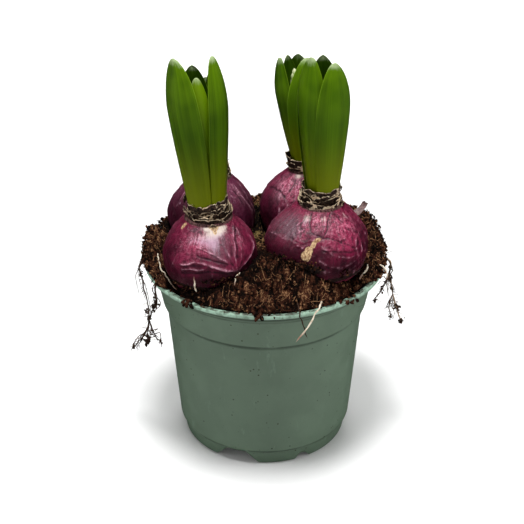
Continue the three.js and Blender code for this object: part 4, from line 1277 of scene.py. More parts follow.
def bulb_shell(name, plant, wrinkles, rows=92, rows_below=30, columns=310):
    """Skin of a bulb over azimuth and tilt, then the neck's rim and the socket in it, closed at both ends."""
    plate_tilt = -math.acos(BASAL_RADIUS / plant.radius)
    fine = FRONT_FINENESS if name.startswith("front") else BACK_FINENESS
    below = plate_tilt * (1 - circle(round(rows_below * fine), 1))
    upper = math.pi / 2 * np.linspace(0, 1, round(rows * fine)) ** 0.85
    tilt = np.concatenate([below, upper])[:, None]
    azimuth = circle(round(columns * fine))[None, :]
    smooth, height, above = bulb_outline(plant, tilt)
    azimuth, tilt, height, smooth, above = np.broadcast_arrays(azimuth, tilt, height, smooth, above)
    degrees = np.degrees(tilt)
    relief = bulb_relief(name, plant, azimuth, tilt, height, wrinkles)
    radius = smooth + relief + bulge_rise(plant.bulge, azimuth, degrees)
    skin = polar(azimuth, radius, plant.z + height, plant.x + plant.shift * above**2, plant.y)
    neck = plant.x + plant.shift
    socket = shoot_radius(plant, SOCKET_DEPTH) + abs(plant.lean) * SOCKET_DEPTH + GAP
    base = plant.top - SOCKET_DEPTH
    steps = [(plant.neck - 0.1, plant.top), (socket, plant.top), (socket, base)]
    rim = [polar(azimuth[0], radius, level, neck, plant.y) for radius, level in steps]
    angle = np.radians(azimuth)
    values = {"veins": spots(26 * np.cos(angle), 26 * np.sin(angle), 0.16 * degrees)}
    for kind, behind in BACK_MARKS.items():
        values[kind] = mark_strength(BULB_MARKS[name].get(kind, []) + behind, azimuth, degrees)
    # The crest value carries a painted highlight and the furrow value painted shade.
    stands_out = relief - broad_mean(relief)
    values["crest"] = ease(stands_out, 0.16, 0.55)
    values["furrow"] = ease(stands_out, -0.04, -0.3)
    values["tilt"] = degrees / 90
    values["violet"] = np.full(degrees.shape, BULB_MARKS[name]["violet"])
    for key, value in values.items():
        values[key] = np.concatenate([value, np.repeat(value[-1:], 3, axis=0)])
    plate = (plant.x, plant.y, plant.z - BASAL_DROP)
    return tube_shell(np.concatenate([skin, rim]), plate, (neck, plant.y, base), values)


def broad_mean(relief, reach=6):
    """Relief averaged over its neighbours both ways, so that what is left is the narrow crests."""
    total = np.zeros_like(relief)
    for step in range(-reach, reach + 1):
        total = total + np.roll(relief, step, axis=1)
    total = total / (2 * reach + 1)
    padded = np.pad(total, ((reach, reach), (0, 0)), mode="edge")
    spread = sum(padded[step:step + len(total)] for step in range(2 * reach + 1))
    return spread / (2 * reach + 1)


def bulb_finish(look):
    """Purple skin: layers of pink, grey and dark skin, veins, worn and torn patches, a dry top and dirt
    below, with painted sheen and highlights on the upper skin, the pink marks and the crests, and painted
    shade in the furrows and in the deep marks, each where the mesh's values and noise say."""
    finish = Finish("bulb_skin", look.deep)
    place = finish.place
    veins = finish.value("veins", "Vector")
    tilt = finish.value("tilt")
    streaks = veins.noise(1.5, 4, 0.6, (1.0, 1.0, 0.35))
    lines = veins.noise(0.55, 3, 0.6, (1.0, 1.0, 0.16))
    blotch = place.noise(8, 4, 0.6)
    mottle = place.noise(1.8, 5, 0.7)
    specks = place.noise(0.75, 3, 0.65)
    high = tilt.step(0.1, 0.6)
    pink = finish.value("pink")
    crest = finish.value("crest")
    finish.coat(blotch.step(0.34, 0.6), look.skin)
    # Pink on the upper skin and in the pink marks: partly the skin's own pink, partly painted light on the
    # lit tops.
    finish.coat(high * mottle.step(0.42, 0.6) * 0.35, look.pink)
    finish.coat(pink * (0.15 + 0.75 * mottle.step(0.36, 0.6)), look.pink)
    finish.coat(finish.value("violet") * (0.4 + 0.4 * blotch.step(0.35, 0.65)), tint(70, 30, 58))
    finish.coat(finish.value("grey") * (0.4 + 0.55 * streaks.step(0.35, 0.65)), look.grey)
    # Deep marks: darker skin, and partly painted shade low down and on the sides away from the light.
    finish.coat(finish.value("deep") * (0.65 + 0.35 * blotch), look.deep)
    finish.coat(lines.step(0.53, 0.66) * 0.45, look.vein)
    # Painted sheen: highlights on the pink marks of the upper skin.
    silky = (0.35 * streaks + 0.35 * mottle + 0.3 * specks).step(0.47, 0.6)
    finish.coat(pink * high * silky * 0.62, look.painted_sheen)
    # Painted highlight along the crests of the folds.
    lift = (0.1 + 0.7 * mottle.step(0.38, 0.62)) * (1 - 0.65 * finish.value("deep"))
    finish.coat(crest * lift * 0.95, look.painted_sheen)
    # Painted shade in the furrows between the folds.
    finish.coat(finish.value("furrow") * 0.8, look.vein)
    # Painted glints on the upper skin.
    finish.coat(specks.step(0.6, 0.7) * high * 0.3, look.painted_sheen)
    # Pale patches: worn-through skin near the top; lower down the lavender mix is a painted sheen.
    worn = (finish.value("pale") * 1.25 + 1.0 * streaks + 0.6 * mottle - 0.95).step(0.1, 0.9)
    finish.coat(worn * 0.9, finish.mix(tilt.step(0.5, 0.72), tint(192, 158, 178), look.pale))
    torn = (finish.value("bare") * 1.2 + 0.9 * mottle - 0.45).step(0.42, 0.58)
    fibre = place.noise(0.8, 4, 0.7, (1.0, 1.0, 0.4))
    finish.coat(torn * 0.9, finish.mix(fibre.step(0.36, 0.66), tint(134, 92, 58), look.bare))
    dry = (tilt.step(0.68, 1.0) * 1.1 + 0.9 * streaks - 0.65).step(0.5, 0.75)
    finish.coat(dry * 0.8, finish.mix(fibre.step(0.4, 0.6), tint(36, 22, 22), tint(112, 88, 78)))
    dirt = (finish.value("dirt") * 1.1 + 1.1 * mottle - 0.75).step(0.35, 0.55)
    finish.coat(dirt * 0.92, finish.mix(fibre.step(0.5, 0.75), tint(22, 12, 8), tint(74, 50, 34)))
    dull = torn.most(dry.most(dirt))
    height = 0.3 * lines + 0.25 * specks + 0.9 * place.noise(2.8, 4, 0.6)
    finish.bump(height, 0.9, 0.95)
    return finish.done(0.3 + 0.2 * mottle + 0.4 * dull, 0.45)


# Shoots


def swelling(share):
    """Share of the way from the foot's radius to the widest, for a height as a share of the shoot's."""
    return np.where(share < WIDEST_AT, 1 - np.clip(1 - share / WIDEST_AT, 0, None) ** 1.25, 1.0)


def shoot_radius(plant, height):
    """Radius of a shoot: it swells from its foot to its widest and is pinched in towards its top."""
    share = height / plant.tall
    radius = plant.foot + (plant.widest - plant.foot) * swelling(share)
    pinch = np.clip((share - WIDEST_AT) / (1 - WIDEST_AT), 0, None)
    return radius * (1 - TIP_PINCH * pinch**2)


def shoot_point(plant, azimuth, radius, height):
    """Points round a shoot's leaning axis, from its foot in the neck's socket up."""
    foot = plant.top - SOCKET_DEPTH + GAP
    axis = plant.x + plant.shift + plant.lean * height
    return polar(azimuth, radius, foot + height, axis, plant.y)


def neck_point(plant, azimuth, radius, height):
    """Points round a shoot's leaning axis, from the neck's rim up."""
    return shoot_point(plant, azimuth, radius, height + SOCKET_DEPTH - GAP)


def sleeve_radius(plant, height):
    """Radius of a shoot at a height above the neck's rim."""
    return shoot_radius(plant, np.clip(height, 0, None) + SOCKET_DEPTH - GAP)


def leaf_shell(plant, leaf, seed, rows=46, columns=44):
    """Leaf over height and a turn round its section. Its half width is its spread times the root of
    1 - height^blunt, and a little more low down, where its edges all but meet the next leaves'. Round the
    section, across is a sine and the face a root of the cosine, so that the edges are round. The blade thins
    towards its edges and its tip, where the edges curl in. Narrow inner leaves are marked as brighter."""
    level, azimuth, spread, drift, tall, blunt = leaf
    along = 1 - (1 - circle(rows, 1)[:, None]) ** 1.8
    across, face = strip_section(columns, 0.55)
    height = along * tall
    share = swelling(height / plant.tall)
    thickness = LEAF_THICK_FOOT + (LEAF_THICK_WIDEST - LEAF_THICK_FOOT) * share
    step = LEAF_STEP_FOOT + (LEAF_STEP_WIDEST - LEAF_STEP_FOOT) * share
    outer = shoot_radius(plant, height) - level * step
    hug = 0 if level else LEAF_HUG * ease(along, 0.8, 0.35)
    half_width = (spread + hug) * np.sqrt(1 - along**blunt)
    centre = azimuth + drift * along**2
    depth = thickness * (1 - 0.66 * across**2) * np.sqrt(1 - along**26)
    rim = 0.35 * across**4 + (0.5 + 0.5 * along**3) * np.abs(across) ** 3 * along**6
    waver = 0.2 * noise(spots(3.1 * across + seed, 2.2 * along, 0), 1.0, seed) * ease(along, 0.1, 0.4)
    keel = 0.3 * np.exp(-((across / 0.2) ** 2)) * ease(along, 0.05, 0.3) * (1 - along**8)
    flutes = 0.05 * np.cos(across * 26) * ease(along, 0.02, 0.2) * (1 - along**6)
    bulge = (keel + flutes) * (face > 0)
    radius = outer - rim - depth / 2 * (1 - face) + waver + bulge
    rings = shoot_point(plant, centre + half_width * across, radius, height)
    tip_radius = shoot_radius(plant, tall) - level * step[-1, 0] - 1
    tip = shoot_point(plant, azimuth + drift, tip_radius, tall)
    values = {
        "along": height / plant.tall,
        "to_tip": tall - height,
        "across": across,
        "face": face,
        "blade": spots(14 * across, 0.1 * height, 9.7 * seed),
        "inward": float(level and spread < NARROW_LEAF),
    }
    return tube_shell(rings, None, tip, values)


def leaf_finish(look):
    """Green blade with stripes along it, a yellowish foot, pale edges, a pale hooded tip and painted shade on
    its inner face.
    """
    finish = Finish("leaf", look.dark)
    place = finish.place
    blade = finish.value("blade", "Vector")
    along = finish.value("along")
    to_tip = finish.value("to_tip")
    across = finish.value("across")
    edge = across.math("ABSOLUTE", across)
    face = finish.value("face")
    wide = blade.noise(6.0, 2, 0.5, (1.0, 0.4, 1.0))
    veins = blade.noise(0.7, 2, 0.5, (1.0, 0.12, 1.0))
    shade = place.noise(26, 2)
    finish.coat(wide.step(0.3, 0.6), look.green)
    finish.coat(along.step(0.45, 0.95) * shade.step(0.42, 0.6) * 0.4, look.light)
    finish.coat(veins.step(0.5, 0.75) * 0.22, look.light)
    finish.coat(veins.step(0.48, 0.3) * 0.25, look.dark)
    yellowing = along.step(0.62, 0.08) * (0.75 + 0.25 * wide)
    finish.coat(yellowing, look.foot)
    lit_inside = finish.value("inward") * face.step(0.0, 0.5) * along.step(0.3, 0.9)
    finish.coat(lit_inside * 0.6, tint(112, 144, 10))
    finish.coat(along.step(0.09, 0.0) * 0.5, tint(176, 176, 70))
    # Painted shade on the inner face of each leaf.
    finish.coat(face.step(0.1, -0.4) * 0.6, tint(34, 66, 0))
    finish.coat(edge.step(0.96, 1.0) * along.step(0.4, 0.9) * 0.35, tint(150, 186, 50))
    hood = (to_tip * -0.14 + 0.6 * veins + 0.7 * place.noise(4, 3)).step(0.1, 0.65)
    finish.coat(hood * 0.65, look.tip)
    flecks = place.cells(2.6).step(0.1, 0.03) * place.noise(14, 2).step(0.5, 0.66)
    finish.coat(flecks * 0.5, tint(58, 44, 26))
    finish.bump(0.5 * veins + 0.35 * wide + 0.15 * place.noise(0.6, 2), 0.32, 0.55)
    return finish.done(look.roughness + 0.16 * wide, 0.07)


def cover_radius(plant, height):
    """Radius of the collar at a height above the neck's rim: about the neck's but never inside the shoot, and
    below the rim just outside the bulb's shoulder."""
    above = np.clip((plant.top + height - plant.z) / (plant.top - 1 - plant.z), 0, 1)
    shoulder = plant.neck + (plant.radius - plant.neck) * (1 - above**2) ** (SHOULDER / 2)
    sleeve = sleeve_radius(plant, height) + GAP
    return np.where(height < 0, shoulder + 0.2, np.maximum(sleeve, plant.neck - 0.5 - 0.08 * height))


def scale_kind(seed):
    """Number from 0 to 1 that tells one scale from the next."""
    return seed * 0.618 % 1


def frill_shell(plant, low, high, out, flare, seed, columns=200, around=12):
    """Frill of dry scale ends round the neck: a thin strip closed round its section and round the neck. Noise
    along it lifts and tears its upper edge, noise on its face crumples it, and it bends out with the square
    of its height."""
    azimuth = circle(columns)[None, :]
    turn = circle(around, 2 * math.pi)[:, None]
    up = (1 - np.cos(turn)) / 2
    face = np.sign(np.sin(turn)) * np.abs(np.sin(turn)) ** 0.5
    hoop = polar(azimuth, plant.neck, 17.3 * seed)
    waves = 1.3 * noise(hoop, 9.5, seed) + 0.9 * noise(hoop, 3.6, seed + 1)
    tears = ridges(hoop, 4.3, seed + 2, 9)
    middle, share = plant.slope
    tall = 1 - share * (1 - np.cos(np.radians(turn_apart(azimuth, middle)))) / 2
    top = high * tall + waves - 1.6 * tears * min(1, high / 4)
    bottom = low + 0.5 * noise(hoop, 4, seed + 3)
    height = bottom + (top - bottom) * up
    key = hoop + spots(0, 0, 0.9 * height)
    crumple = (0.45 * noise(key, 3.6, seed + 4) + 0.3 * noise(key, 1.4, seed + 5)) * (0.25 + 0.75 * up)
    scallops = 0.7 * noise(hoop, 5.2, seed + 6) * up**2
    spread = out + crumple + scallops + flare * np.clip(up - 0.35, 0, None) ** 2 / 0.42 - 3.5 * (1 - tall)
    radius = np.maximum(cover_radius(plant, height) + spread, sleeve_radius(plant, height) + 0.3)
    points = neck_point(plant, azimuth, radius + 0.16 * face, height)
    values = {"to_edge": top - height, "kind": scale_kind(seed)}
    return Shell(points, grid_quads(*height.shape, True, True), (), values)


def flake_shell(plant, azimuth, half, low, high, out, curl, seed, rows=9, columns=20):
    """Loose flake of a scale: a thin strip on the collar over its length and a turn round its section. Noise
    crumples it and tears its end, its width narrows and it bends out with the square of its length."""
    up = np.linspace(0, 1, rows)[:, None]
    across, face = strip_section(columns)
    arc = math.radians(half) * plant.neck
    length = high - low
    key = spots(across * arc / 2.6, up * length / 2.4, 7.3 * seed)
    torn = 0.74 + 0.28 * noise(spots(across * arc / 1.1, 0, seed), 1.0, seed)
    height = low + length * up * (1 - 0.4 * np.abs(across) ** 4) * (1 - (1 - torn) * up)
    crumple = 0.5 * np.abs(noise(key, 1.0, seed)) + 0.25 * noise(key * 2.2, 1.0, seed + 1)
    crumple = crumple * (0.35 + 0.9 * up)
    radius = cover_radius(plant, height) + out + curl * up**2 + crumple + 0.12 * (1 + face)
    turned = azimuth + half * across * (1 - 0.35 * up**2) + 4 * noise(key + 5, 1.0, seed)
    rings = neck_point(plant, turned, radius, height)
    return tube_shell(rings, values={"to_edge": length * (1 - up) * 0.6, "kind": scale_kind(seed)})


def neck_whiskers(plant, random, number=16):
    """Stiff dry fibres that stick up and out of the collar's edge."""
    azimuth = random.uniform(0, 360, number)[:, None]
    share = np.linspace(0, 1, 6)[None, :]
    length = random.uniform(1.5, 4.2, number)[:, None]
    height = plant.collar * random.uniform(0.2, 0.95, number)[:, None] + length * share * 0.6
    out = 0.2 + length * (0.25 * share + random.uniform(0.1, 0.6, number)[:, None] * share**2)
    turned = azimuth + random.uniform(-14, 14, number)[:, None] * share
    radius = cover_radius(plant, height) + out
    paths = neck_point(plant, turned, radius, height)
    thick = random.uniform(0.1, 0.2, number)[:, None] * (1.1 - share)
    return strands(paths, thick, 4, {"to_edge": 3 + 0 * azimuth, "kind": random.random(number)})


def neck_scales(name, plant, flakes):
    """Collar of dry scales: frills one inside the other, each taller than the one outside it, torn flakes
    set round it by even steps with a random shift, and dry fibres."""
    random = np.random.default_rng(len(name) + int(plant.x * 10) % 97)
    collar = plant.collar
    shells = [neck_whiskers(plant, random)]
    for i, (low, share, out, flare) in enumerate(FRILLS):
        shells.append(frill_shell(plant, low, collar * share, out, flare, 11 * i + len(name)))
    for i in range(flakes):
        azimuth = 360 * (i + random.uniform(-0.4, 0.4)) / flakes * 3
        low = collar * random.uniform(-0.1, 0.6)
        high = low + random.uniform(1.6, 3.4)
        half = random.uniform(9, 22)
        out = random.uniform(0.1, 0.5)
        curl = random.uniform(-0.2, 0.7)
        seed = int(random.integers(9000))
        shells.append(flake_shell(plant, azimuth, half, low, high, out, curl, seed))
    return merged(shells)


def scale_finish(look):
    """Dark dry scales with tan patches and torn tan edges."""
    finish = Finish("dry_scales", look.brown)
    place = finish.place
    kind = finish.value("kind")
    to_edge = finish.value("to_edge")
    fibre = place.noise(0.9, 4, 0.65, (1.0, 1.0, 0.6))
    blotch = place.noise(5.0, 3, 0.6)
    pale = finish.mix(fibre.step(0.4, 0.7), look.tan, tint(160, 130, 104))
    finish.coat(fibre.step(0.42, 0.72) * 0.75, tint(90, 68, 54))
    patch = (0.9 * blotch + 0.25 * kind + 0.1 * fibre).step(0.72, 0.78)
    finish.coat(patch * 0.9, pale)
    broken = place.noise(1.5, 3, 0.6).step(0.62, 0.5)
    edge = (2.6 * blotch + 0.8 * fibre - 1.2 - to_edge).step(-0.15, 0.2)
    finish.coat(edge * (0.25 + 0.7 * broken), pale)
    finish.bump(fibre + 0.5 * blotch, 0.3, 0.7)
    return finish.done(0.68 + 0.25 * fibre, 0.2)


def bud_shell(plant):
    """Flower spike: a round stem, and closed florets set round it in spirals. A floret is an oval with three
    shallow lobes that narrows to a blunt tip, leaning up and out."""
    stem_height = np.linspace(0, plant.bud - 8, 24)[:, None]
    stem = shoot_point(plant, circle(24), 2.6 - 0.6 * stem_height / plant.bud, stem_height)
    shells = [tube_shell(stem, values={"up": 0.2})]
    fullest = min(5.2, plant.widest - 7.2)
    up = (np.sin(np.linspace(-math.pi / 2, math.pi / 2, 11)) / 2 + 0.5)[1:-1, None]
    turn = circle(12, 2 * math.pi)
    lobes = 1 + 0.09 * np.cos(3 * turn)
    for i in range(FLORETS):
        share = i / (FLORETS - 1)
        height = plant.bud * (0.42 + 0.49 * share)
        side = GOLDEN_TURN * i
        plump = fullest * (0.44 - 0.14 * share)
        out = (fullest - 1.05 * plump) * (1 - share**3) + 0.1
        girth = plump * np.sin(math.pi * up**0.8) ** 0.75 * lobes
        length = 8.4 - 2.6 * share
        axis = shoot_point(plant, side, out, height)
        lean = unit(shoot_point(plant, side, out + 0.8 * (1 - share), height + length) - axis)
        aside = unit(np.cross(lean, [0.3, 0.9, 0.1]))
        ring = aside * np.cos(turn)[:, None] + np.cross(lean, aside) * np.sin(turn)[:, None]
        points = axis + lean * (up * length)[..., None] + ring * girth[..., None]
        shells.append(tube_shell(points, axis, axis + lean * length, {"up": up}))
    return merged(shells)


def bud_finish(look):
    """Green florets with cream tips."""
    finish = Finish("flower_bud", look.green)
    place = finish.place
    up = finish.value("up")
    streaks = place.noise(1.0, 3, 0.6, (1.0, 1.0, 0.3))
    finish.coat((up + 0.4 * streaks - 0.2).step(0.35, 0.95), look.cream)
    finish.coat(streaks.step(0.6, 0.4) * 0.3, tint(112, 146, 52))
    finish.bump(streaks, 0.25, 0.5)
    return finish.done(0.42 + 0.2 * streaks)


# Roots

# Strands of each root, with x, y, z and radius at each point
ROOTS = {
    "roots_left": [
        [(-60, -1, 116, 0.8), (-66.5, -7, 118.6, 0.8), (-71.8, -14, 116.2, 0.8), (-70.6, -19, 109, 0.7),
         (-67.8, -26, 99, 0.7), (-66.6, -28, 88, 0.8), (-68.2, -26, 75, 0.6)],
        [(-57, -31.5, 114.5, 0.7), (-59.7, -36, 117.2, 0.7), (-61.3, -38.6, 113, 0.7), (-61, -38.5, 105, 0.8),
         (-64, -33, 96, 0.7), (-66.6, -28, 86, 0.8)],
        [(-66.8, -27.6, 84, 0.6), (-70, -20, 73, 0.6), (-75, -14, 63, 0.5), (-79, -12, 57, 0.5)],
        [(-66.7, -28, 87, 0.6), (-63.5, -33, 80, 0.5), (-59, -40, 79, 0.5)],
    ],
    "roots_right": [
        [(58, -5, 116.5, 0.8), (65, -8, 118.4, 0.8), (72, -11, 115.5, 0.8), (72.6, -10, 105, 0.8),
         (74.6, -9.5, 95, 0.7), (77, -10, 86, 0.8), (79, -11, 79, 0.6), (81.2, -12, 75, 0.6)],
        [(72.4, -10.6, 111, 0.7), (70.4, -17.5, 107.5, 0.7), (66.6, -28, 108, 0.6), (61, -38.4, 105.5, 0.5)],
        [(75, -9.6, 94, 0.5), (73, -12, 87, 0.5), (74, -14, 80, 0.5)],
    ],
    "root_right_white": [
        [(60.5, -15.5, 117.5, 0.9), (65.5, -20, 118.4, 0.9), (69, -23.4, 115.4, 0.9),
         (69.2, -23.4, 110.8, 0.6)],
    ],
    "root_front_white": [
        [(31, -57, 115.5, 0.7), (30.2, -61, 117.6, 0.9), (28, -66.6, 115.6, 0.9), (22.4, -69.6, 107, 0.8),
         (16.6, -71.2, 99, 0.7)],
    ],
    "root_upright_front_left": [
        [(-36.7, -50.6, 114.5, 0.6), (-37, -52, 118, 0.8), (-37.9, -54.5, 122.5, 0.8),
         (-38.2, -56.1, 127, 0.8), (-38.2, -56.8, 131.5, 0.5)],
    ],
    "root_front_brown": [
        [(16.6, -57, 115.5, 0.5), (17.6, -62.5, 117.4, 0.5), (18.6, -68.9, 114.4, 0.5),
         (20.4, -68, 107.5, 0.5), (23, -67.4, 99, 0.5)],
    ],
}
# Loose roots: name, slot, number of hairs on each strand, share of the radius and how pale each strand is
LOOSE_ROOTS = [
    ("roots_left", "dark_root", 34, 0.78, (0.45, 0.4, 0.8, 0.5)),
    ("roots_right", "dark_root", 34, 0.78, (1.25, 0.35, 0.9)),
    ("root_front_brown", "dark_root", 0, 0.78, (0.6,)),
    ("root_right_white", "white_root", 0, 0.62, (0.5,)),
    ("root_front_white", "white_root", 0, 0.62, (0.5,)),
    ("root_upright_front_left", "white_root", 0, 0.62, (0.5,)),
]
# Clods of peat that cling to the hanging roots: x, y, z and size
ROOT_CLODS = {
    "roots_left": [
        (-68.4, -25, 73.5, 1.7), (-69.2, -23.6, 69.6, 1.9), (-61.6, -38, 104.5, 1.6),
        (-62.6, -36.2, 100, 2.0), (-67.4, -27, 92, 1.4), (-66.8, -28, 87, 1.5), (-78.4, -12.4, 58, 1.1),
        (-59.6, -39.4, 79, 1.1), (-70.8, -17.6, 111, 1.3), (-73, -17, 66.4, 1.1),
    ],
    "roots_right": [
        (77, -10.2, 86.4, 1.5), (77.8, -10.5, 83.6, 1.8), (80.6, -11.8, 76, 1.4), (73, -10, 104, 1.3),
        (74.2, -9.6, 97, 1.2), (66, -29, 108, 1.4), (61.4, -38, 105.6, 1.2), (72.2, -11, 112, 1.4),
        (73.8, -13.6, 80.6, 1.0),
    ],
}
# White roots that lie on the soil: x, y and radius
LYING_ROOTS = {
    "root_lying_left": [(-61.5, -11, 0.9), (-60.6, -18, 0.9), (-58.6, -26, 0.9), (-56.2, -33, 0.8),
                        (-53.2, -38.6, 0.8), (-48.8, -42.6, 0.7)],
    "root_lying_middle": [(-13.5, -49, 0.7), (-15.2, -52, 0.8), (-16.6, -54.6, 0.8)],
    "root_lying_right": [(58.5, -19, 1), (57.5, -26, 1.2), (52.5, -36, 1.1)],
}


def root_tube(points, seed, knots, thin=1.0, tone=0.5):
    """Root along a smooth curve through its points: a round tube, a little crooked and of uneven width."""
    points = np.asarray(points, float)
    steps = 9 * (len(points) - 1) + 1
    path = curve_points(points, steps)
    share = np.linspace(0, 1, steps)
    wobble_key = spots(share * len(points) * 2.2, 0, seed)
    wobble = np.stack([noise(wobble_key, 1.0, seed + i) for i in range(3)], -1)
    inner = np.minimum(1, 6 * np.minimum(share, 1 - share))[:, None]
    centre = path[:, :3] + 0.4 * wobble * inner * knots
    thick = thin * path[:, 3] * (0.82 + 0.22 * knots * noise(wobble_key * 2.3, 1.0, seed + 5))
    thick = thick * np.clip(np.minimum(share, 1 - share) * 3.2 * len(points), 0.25, 1)
    return strands(centre[None], thick[None], 8, {"tone": tone, "tip": share})


def root_hairs(path, number, random, length=6.5, thin=0.11):
    """Fine side roots: thin bent tubes that leave a root at random places and droop."""
    at = random.uniform(0.12, 0.98, number) * (len(path) - 1)
    low = at.astype(int)
    start = path[low] + (path[np.minimum(low + 1, len(path) - 1)] - path[low]) * (at - low)[:, None]
    away = random.normal(size=(number, 3))
    away[:, 2] = -np.abs(away[:, 2]) * 0.7
    away = unit(away + 0.6 * unit(start * np.array([1, 1, 0])))
    reach = length * random.uniform(0.35, 1, number)
    bend = random.normal(size=(number, 3)) * 0.35 - np.array([0, 0, 0.25])
    paths, share = bent_paths(start, away, reach, bend, 7)
    radius = thin * random.uniform(0.6, 1.3, number)[:, None] * (1.05 - 0.75 * share)
    return strands(paths, radius, 4, {"tone": random.uniform(0.2, 1, number), "tip": np.zeros((number, 1))})


def companions(points, number, random):
    """Thin side strands that start on a root and run beside it, bent away from it by smooth noise."""
    path = curve_points(points, 24)[:, :3]
    shells = []
    for _ in range(number):
        start = random.integers(0, 10)
        end = random.integers(14, 24)
        part = path[start:end]
        share = np.linspace(0, 1, len(part))[:, None]
        key = spots(3.0 * share[:, 0], 9.1 * random.uniform(), 0)
        seed = int(random.integers(900))
        away = np.stack([noise(key, 1.0, seed + i) for i in range(3)], -1)
        drift = random.normal(size=3) * np.array([1.5, 1.5, 2])
        spread = 4.2 * np.sin(0.5 * math.pi * share) * away + share * drift
        radius = random.uniform(0.16, 0.4) * (1.1 - 0.6 * share[:, 0])
        tone = {"tone": random.uniform(0.3, 1.1), "tip": share}
        shells.append(strands((part + spread)[None], radius[None], 5, tone))
    return shells


def root_piece(name, hairs, thin, tones):
    """Root tuft: its strands, thinner ones beside them, clods of peat on them and fine hairs."""
    shells = []
    random = np.random.default_rng(len(name) * 13)
    for i, points in enumerate(ROOTS[name]):
        shells.append(root_tube(points, 3 * i + len(name), 1.0, thin, tones[i % len(tones)]))
        path = curve_points(points, 30)[:, :3]
        outside = path[np.hypot(path[:, 0], path[:, 1]) > LIP_START]
        if len(outside) > 4 and hairs:
            shells.append(root_hairs(outside, hairs, random))
            shells.extend(companions(points, 4, random))
    for x, y, z, size in ROOT_CLODS.get(name, []):
        middles = np.array([x, y, z]) + random.normal(size=(15, 3)) * size * np.array([0.4, 0.4, 0.75])
        sizes = random.uniform(0.25, 0.62, 15) * size
        shells.append(lumps(middles, sizes, random, random.uniform(0.1, 0.6, 15)))
    return merged(shells)


def lying_root(name, seed):
    """White root that lies on the peat: its height follows the highest peat near each of its points."""
    path = curve_points(LYING_ROOTS[name], 14)
    around = np.array([(0, 0), (0.8, 0), (-0.8, 0), (0, 0.8), (0, -0.8)])
    near = path[:, None, :2] + around[None]
    height = soil_top(near[..., 0], near[..., 1])[0].max(axis=1)
    eased = np.convolve(np.pad(height, 1, mode="edge"), [0.25, 0.5, 0.25], mode="valid")
    sunk = 0.7 * np.abs(np.linspace(-1, 1, len(path))) ** 6
    points = np.column_stack([path[:, :2], np.maximum(eased, height - 0.3) + 0.5 - sunk, path[:, 2]])
    return root_tube(points, seed, knots=0.5, thin=0.48)


def white_root_finish(look):
    """Pale root with stains of peat and a brown tip."""
    finish = Finish("white_root", look.white)
    place = finish.place
    stain = place.noise(2.4, 4, 0.6)
    finish.coat(stain.step(0.46, 0.72) * 0.75, look.stain)
    finish.coat(finish.value("tip").step(0.72, 0.95) * 0.7, tint(134, 74, 58))
    finish.bump(place.noise(0.8, 3), 0.2, 0.6)
    return finish.done(0.5 + 0.3 * stain)


def dark_root_finish(look):
    """Dark root, paler where its tone is higher."""
    finish = Finish("dark_root", tint(38, 24, 17))
    place = finish.place
    grain = place.noise(0.9, 4, 0.65)
    level = finish.value("tone") * 0.6 + grain * 0.6 - 0.25
    finish.coat(level.step(0.1, 0.75), look.dark)
    finish.coat(level.step(0.5, 0.85) * 0.8, tint(176, 152, 126))
    finish.bump(grain, 0.35, 0.9)
    return finish.done(0.72 + 0.25 * grain, 0.3)


def flap_shell(rows=22, columns=30):
    """Loose skin: a narrow strip from the bulb's shoulder out and up. Its width narrows, its sides curl up
    with the square of the distance across, and its end is torn."""
    plant = PLANTS["front_right"]
    out = unit(np.array([21.4, 17, 9.9]))
    root = np.array([plant.x, plant.y, plant.z]) + out * (plant.radius - 0.1)
    reach = np.array([7.4, 2, 7.2])
    side = unit(np.array([-0.3, 0.9, 0.1]))
    lift = unit(np.cross(reach, side))
    along = np.linspace(0, 1, rows)[:, None]
    across, face = strip_section(columns)
    key = spots(1.7 * across, 2.4 * along, 0)
    torn = 1 - 0.12 * (1 + noise(spots(3 * across, 0, 0), 1.0, 5))
    width = 2.9 - 0.6 * along + 0.6 * noise(key * 1.5, 1.0, 9)
    rise = -1.2 * np.sin(math.pi * along) + 0.7 * across**2 + 0.35 * noise(key, 1.0, 3) + 0.16 * face
    centre = root + reach * (along * torn)[..., None]
    points = centre + side * (width * across)[..., None] + lift * rise[..., None]
    return tube_shell(points, values={"rag": np.maximum(along**3, np.abs(across) ** 5)})


def flap_finish(look):
    """Dry skin, streaked along it and dark at its torn edge."""
    finish = Finish("dry_skin", look.skin)
    place = finish.place
    streaks = place.noise(1.2, 4, 0.6, (1.0, 1.0, 0.5))
    finish.coat(streaks.step(0.35, 0.7), tint(160, 138, 132))
    finish.coat(finish.value("rag").step(0.4, 0.95) * 0.7, tint(78, 54, 46))
    finish.bump(streaks, 0.3, 0.8)
    return finish.done(0.45 + 0.3 * streaks)


# Operators


class HYACINTH_OT_pot(bpy.types.Operator):
    """Moulded nursery pot with a rolled lip, a collar, a notched foot and a drained floor"""

    bl_idname = "hyacinth.pot"
    bl_label = "Pot"

    def execute(self, context):
        shell = merged([pot_wall(), drained_floor()])
        make_piece("nursery_pot", shell, pot_finish(context.scene.hyacinth_pot), ["pot"])
        return {"FINISHED"}


class HYACINTH_OT_soil(bpy.types.Operator):
    """Body of peat with loose crumbs and fibres"""

    bl_idname = "hyacinth.soil"
    bl_label = "Soil"

    def execute(self, context):
        look = context.scene.hyacinth_soil
        finish = soil_finish(look)
        make_piece("peat", soil_shell(), finish, ["soil"])
        make_piece("peat_crumbs", soil_crumbs(look.crumbs), finish, ["soil"])
        make_piece("peat_fibres", soil_fibres(look.fibres), finish, ["soil"])
        return {"FINISHED"}


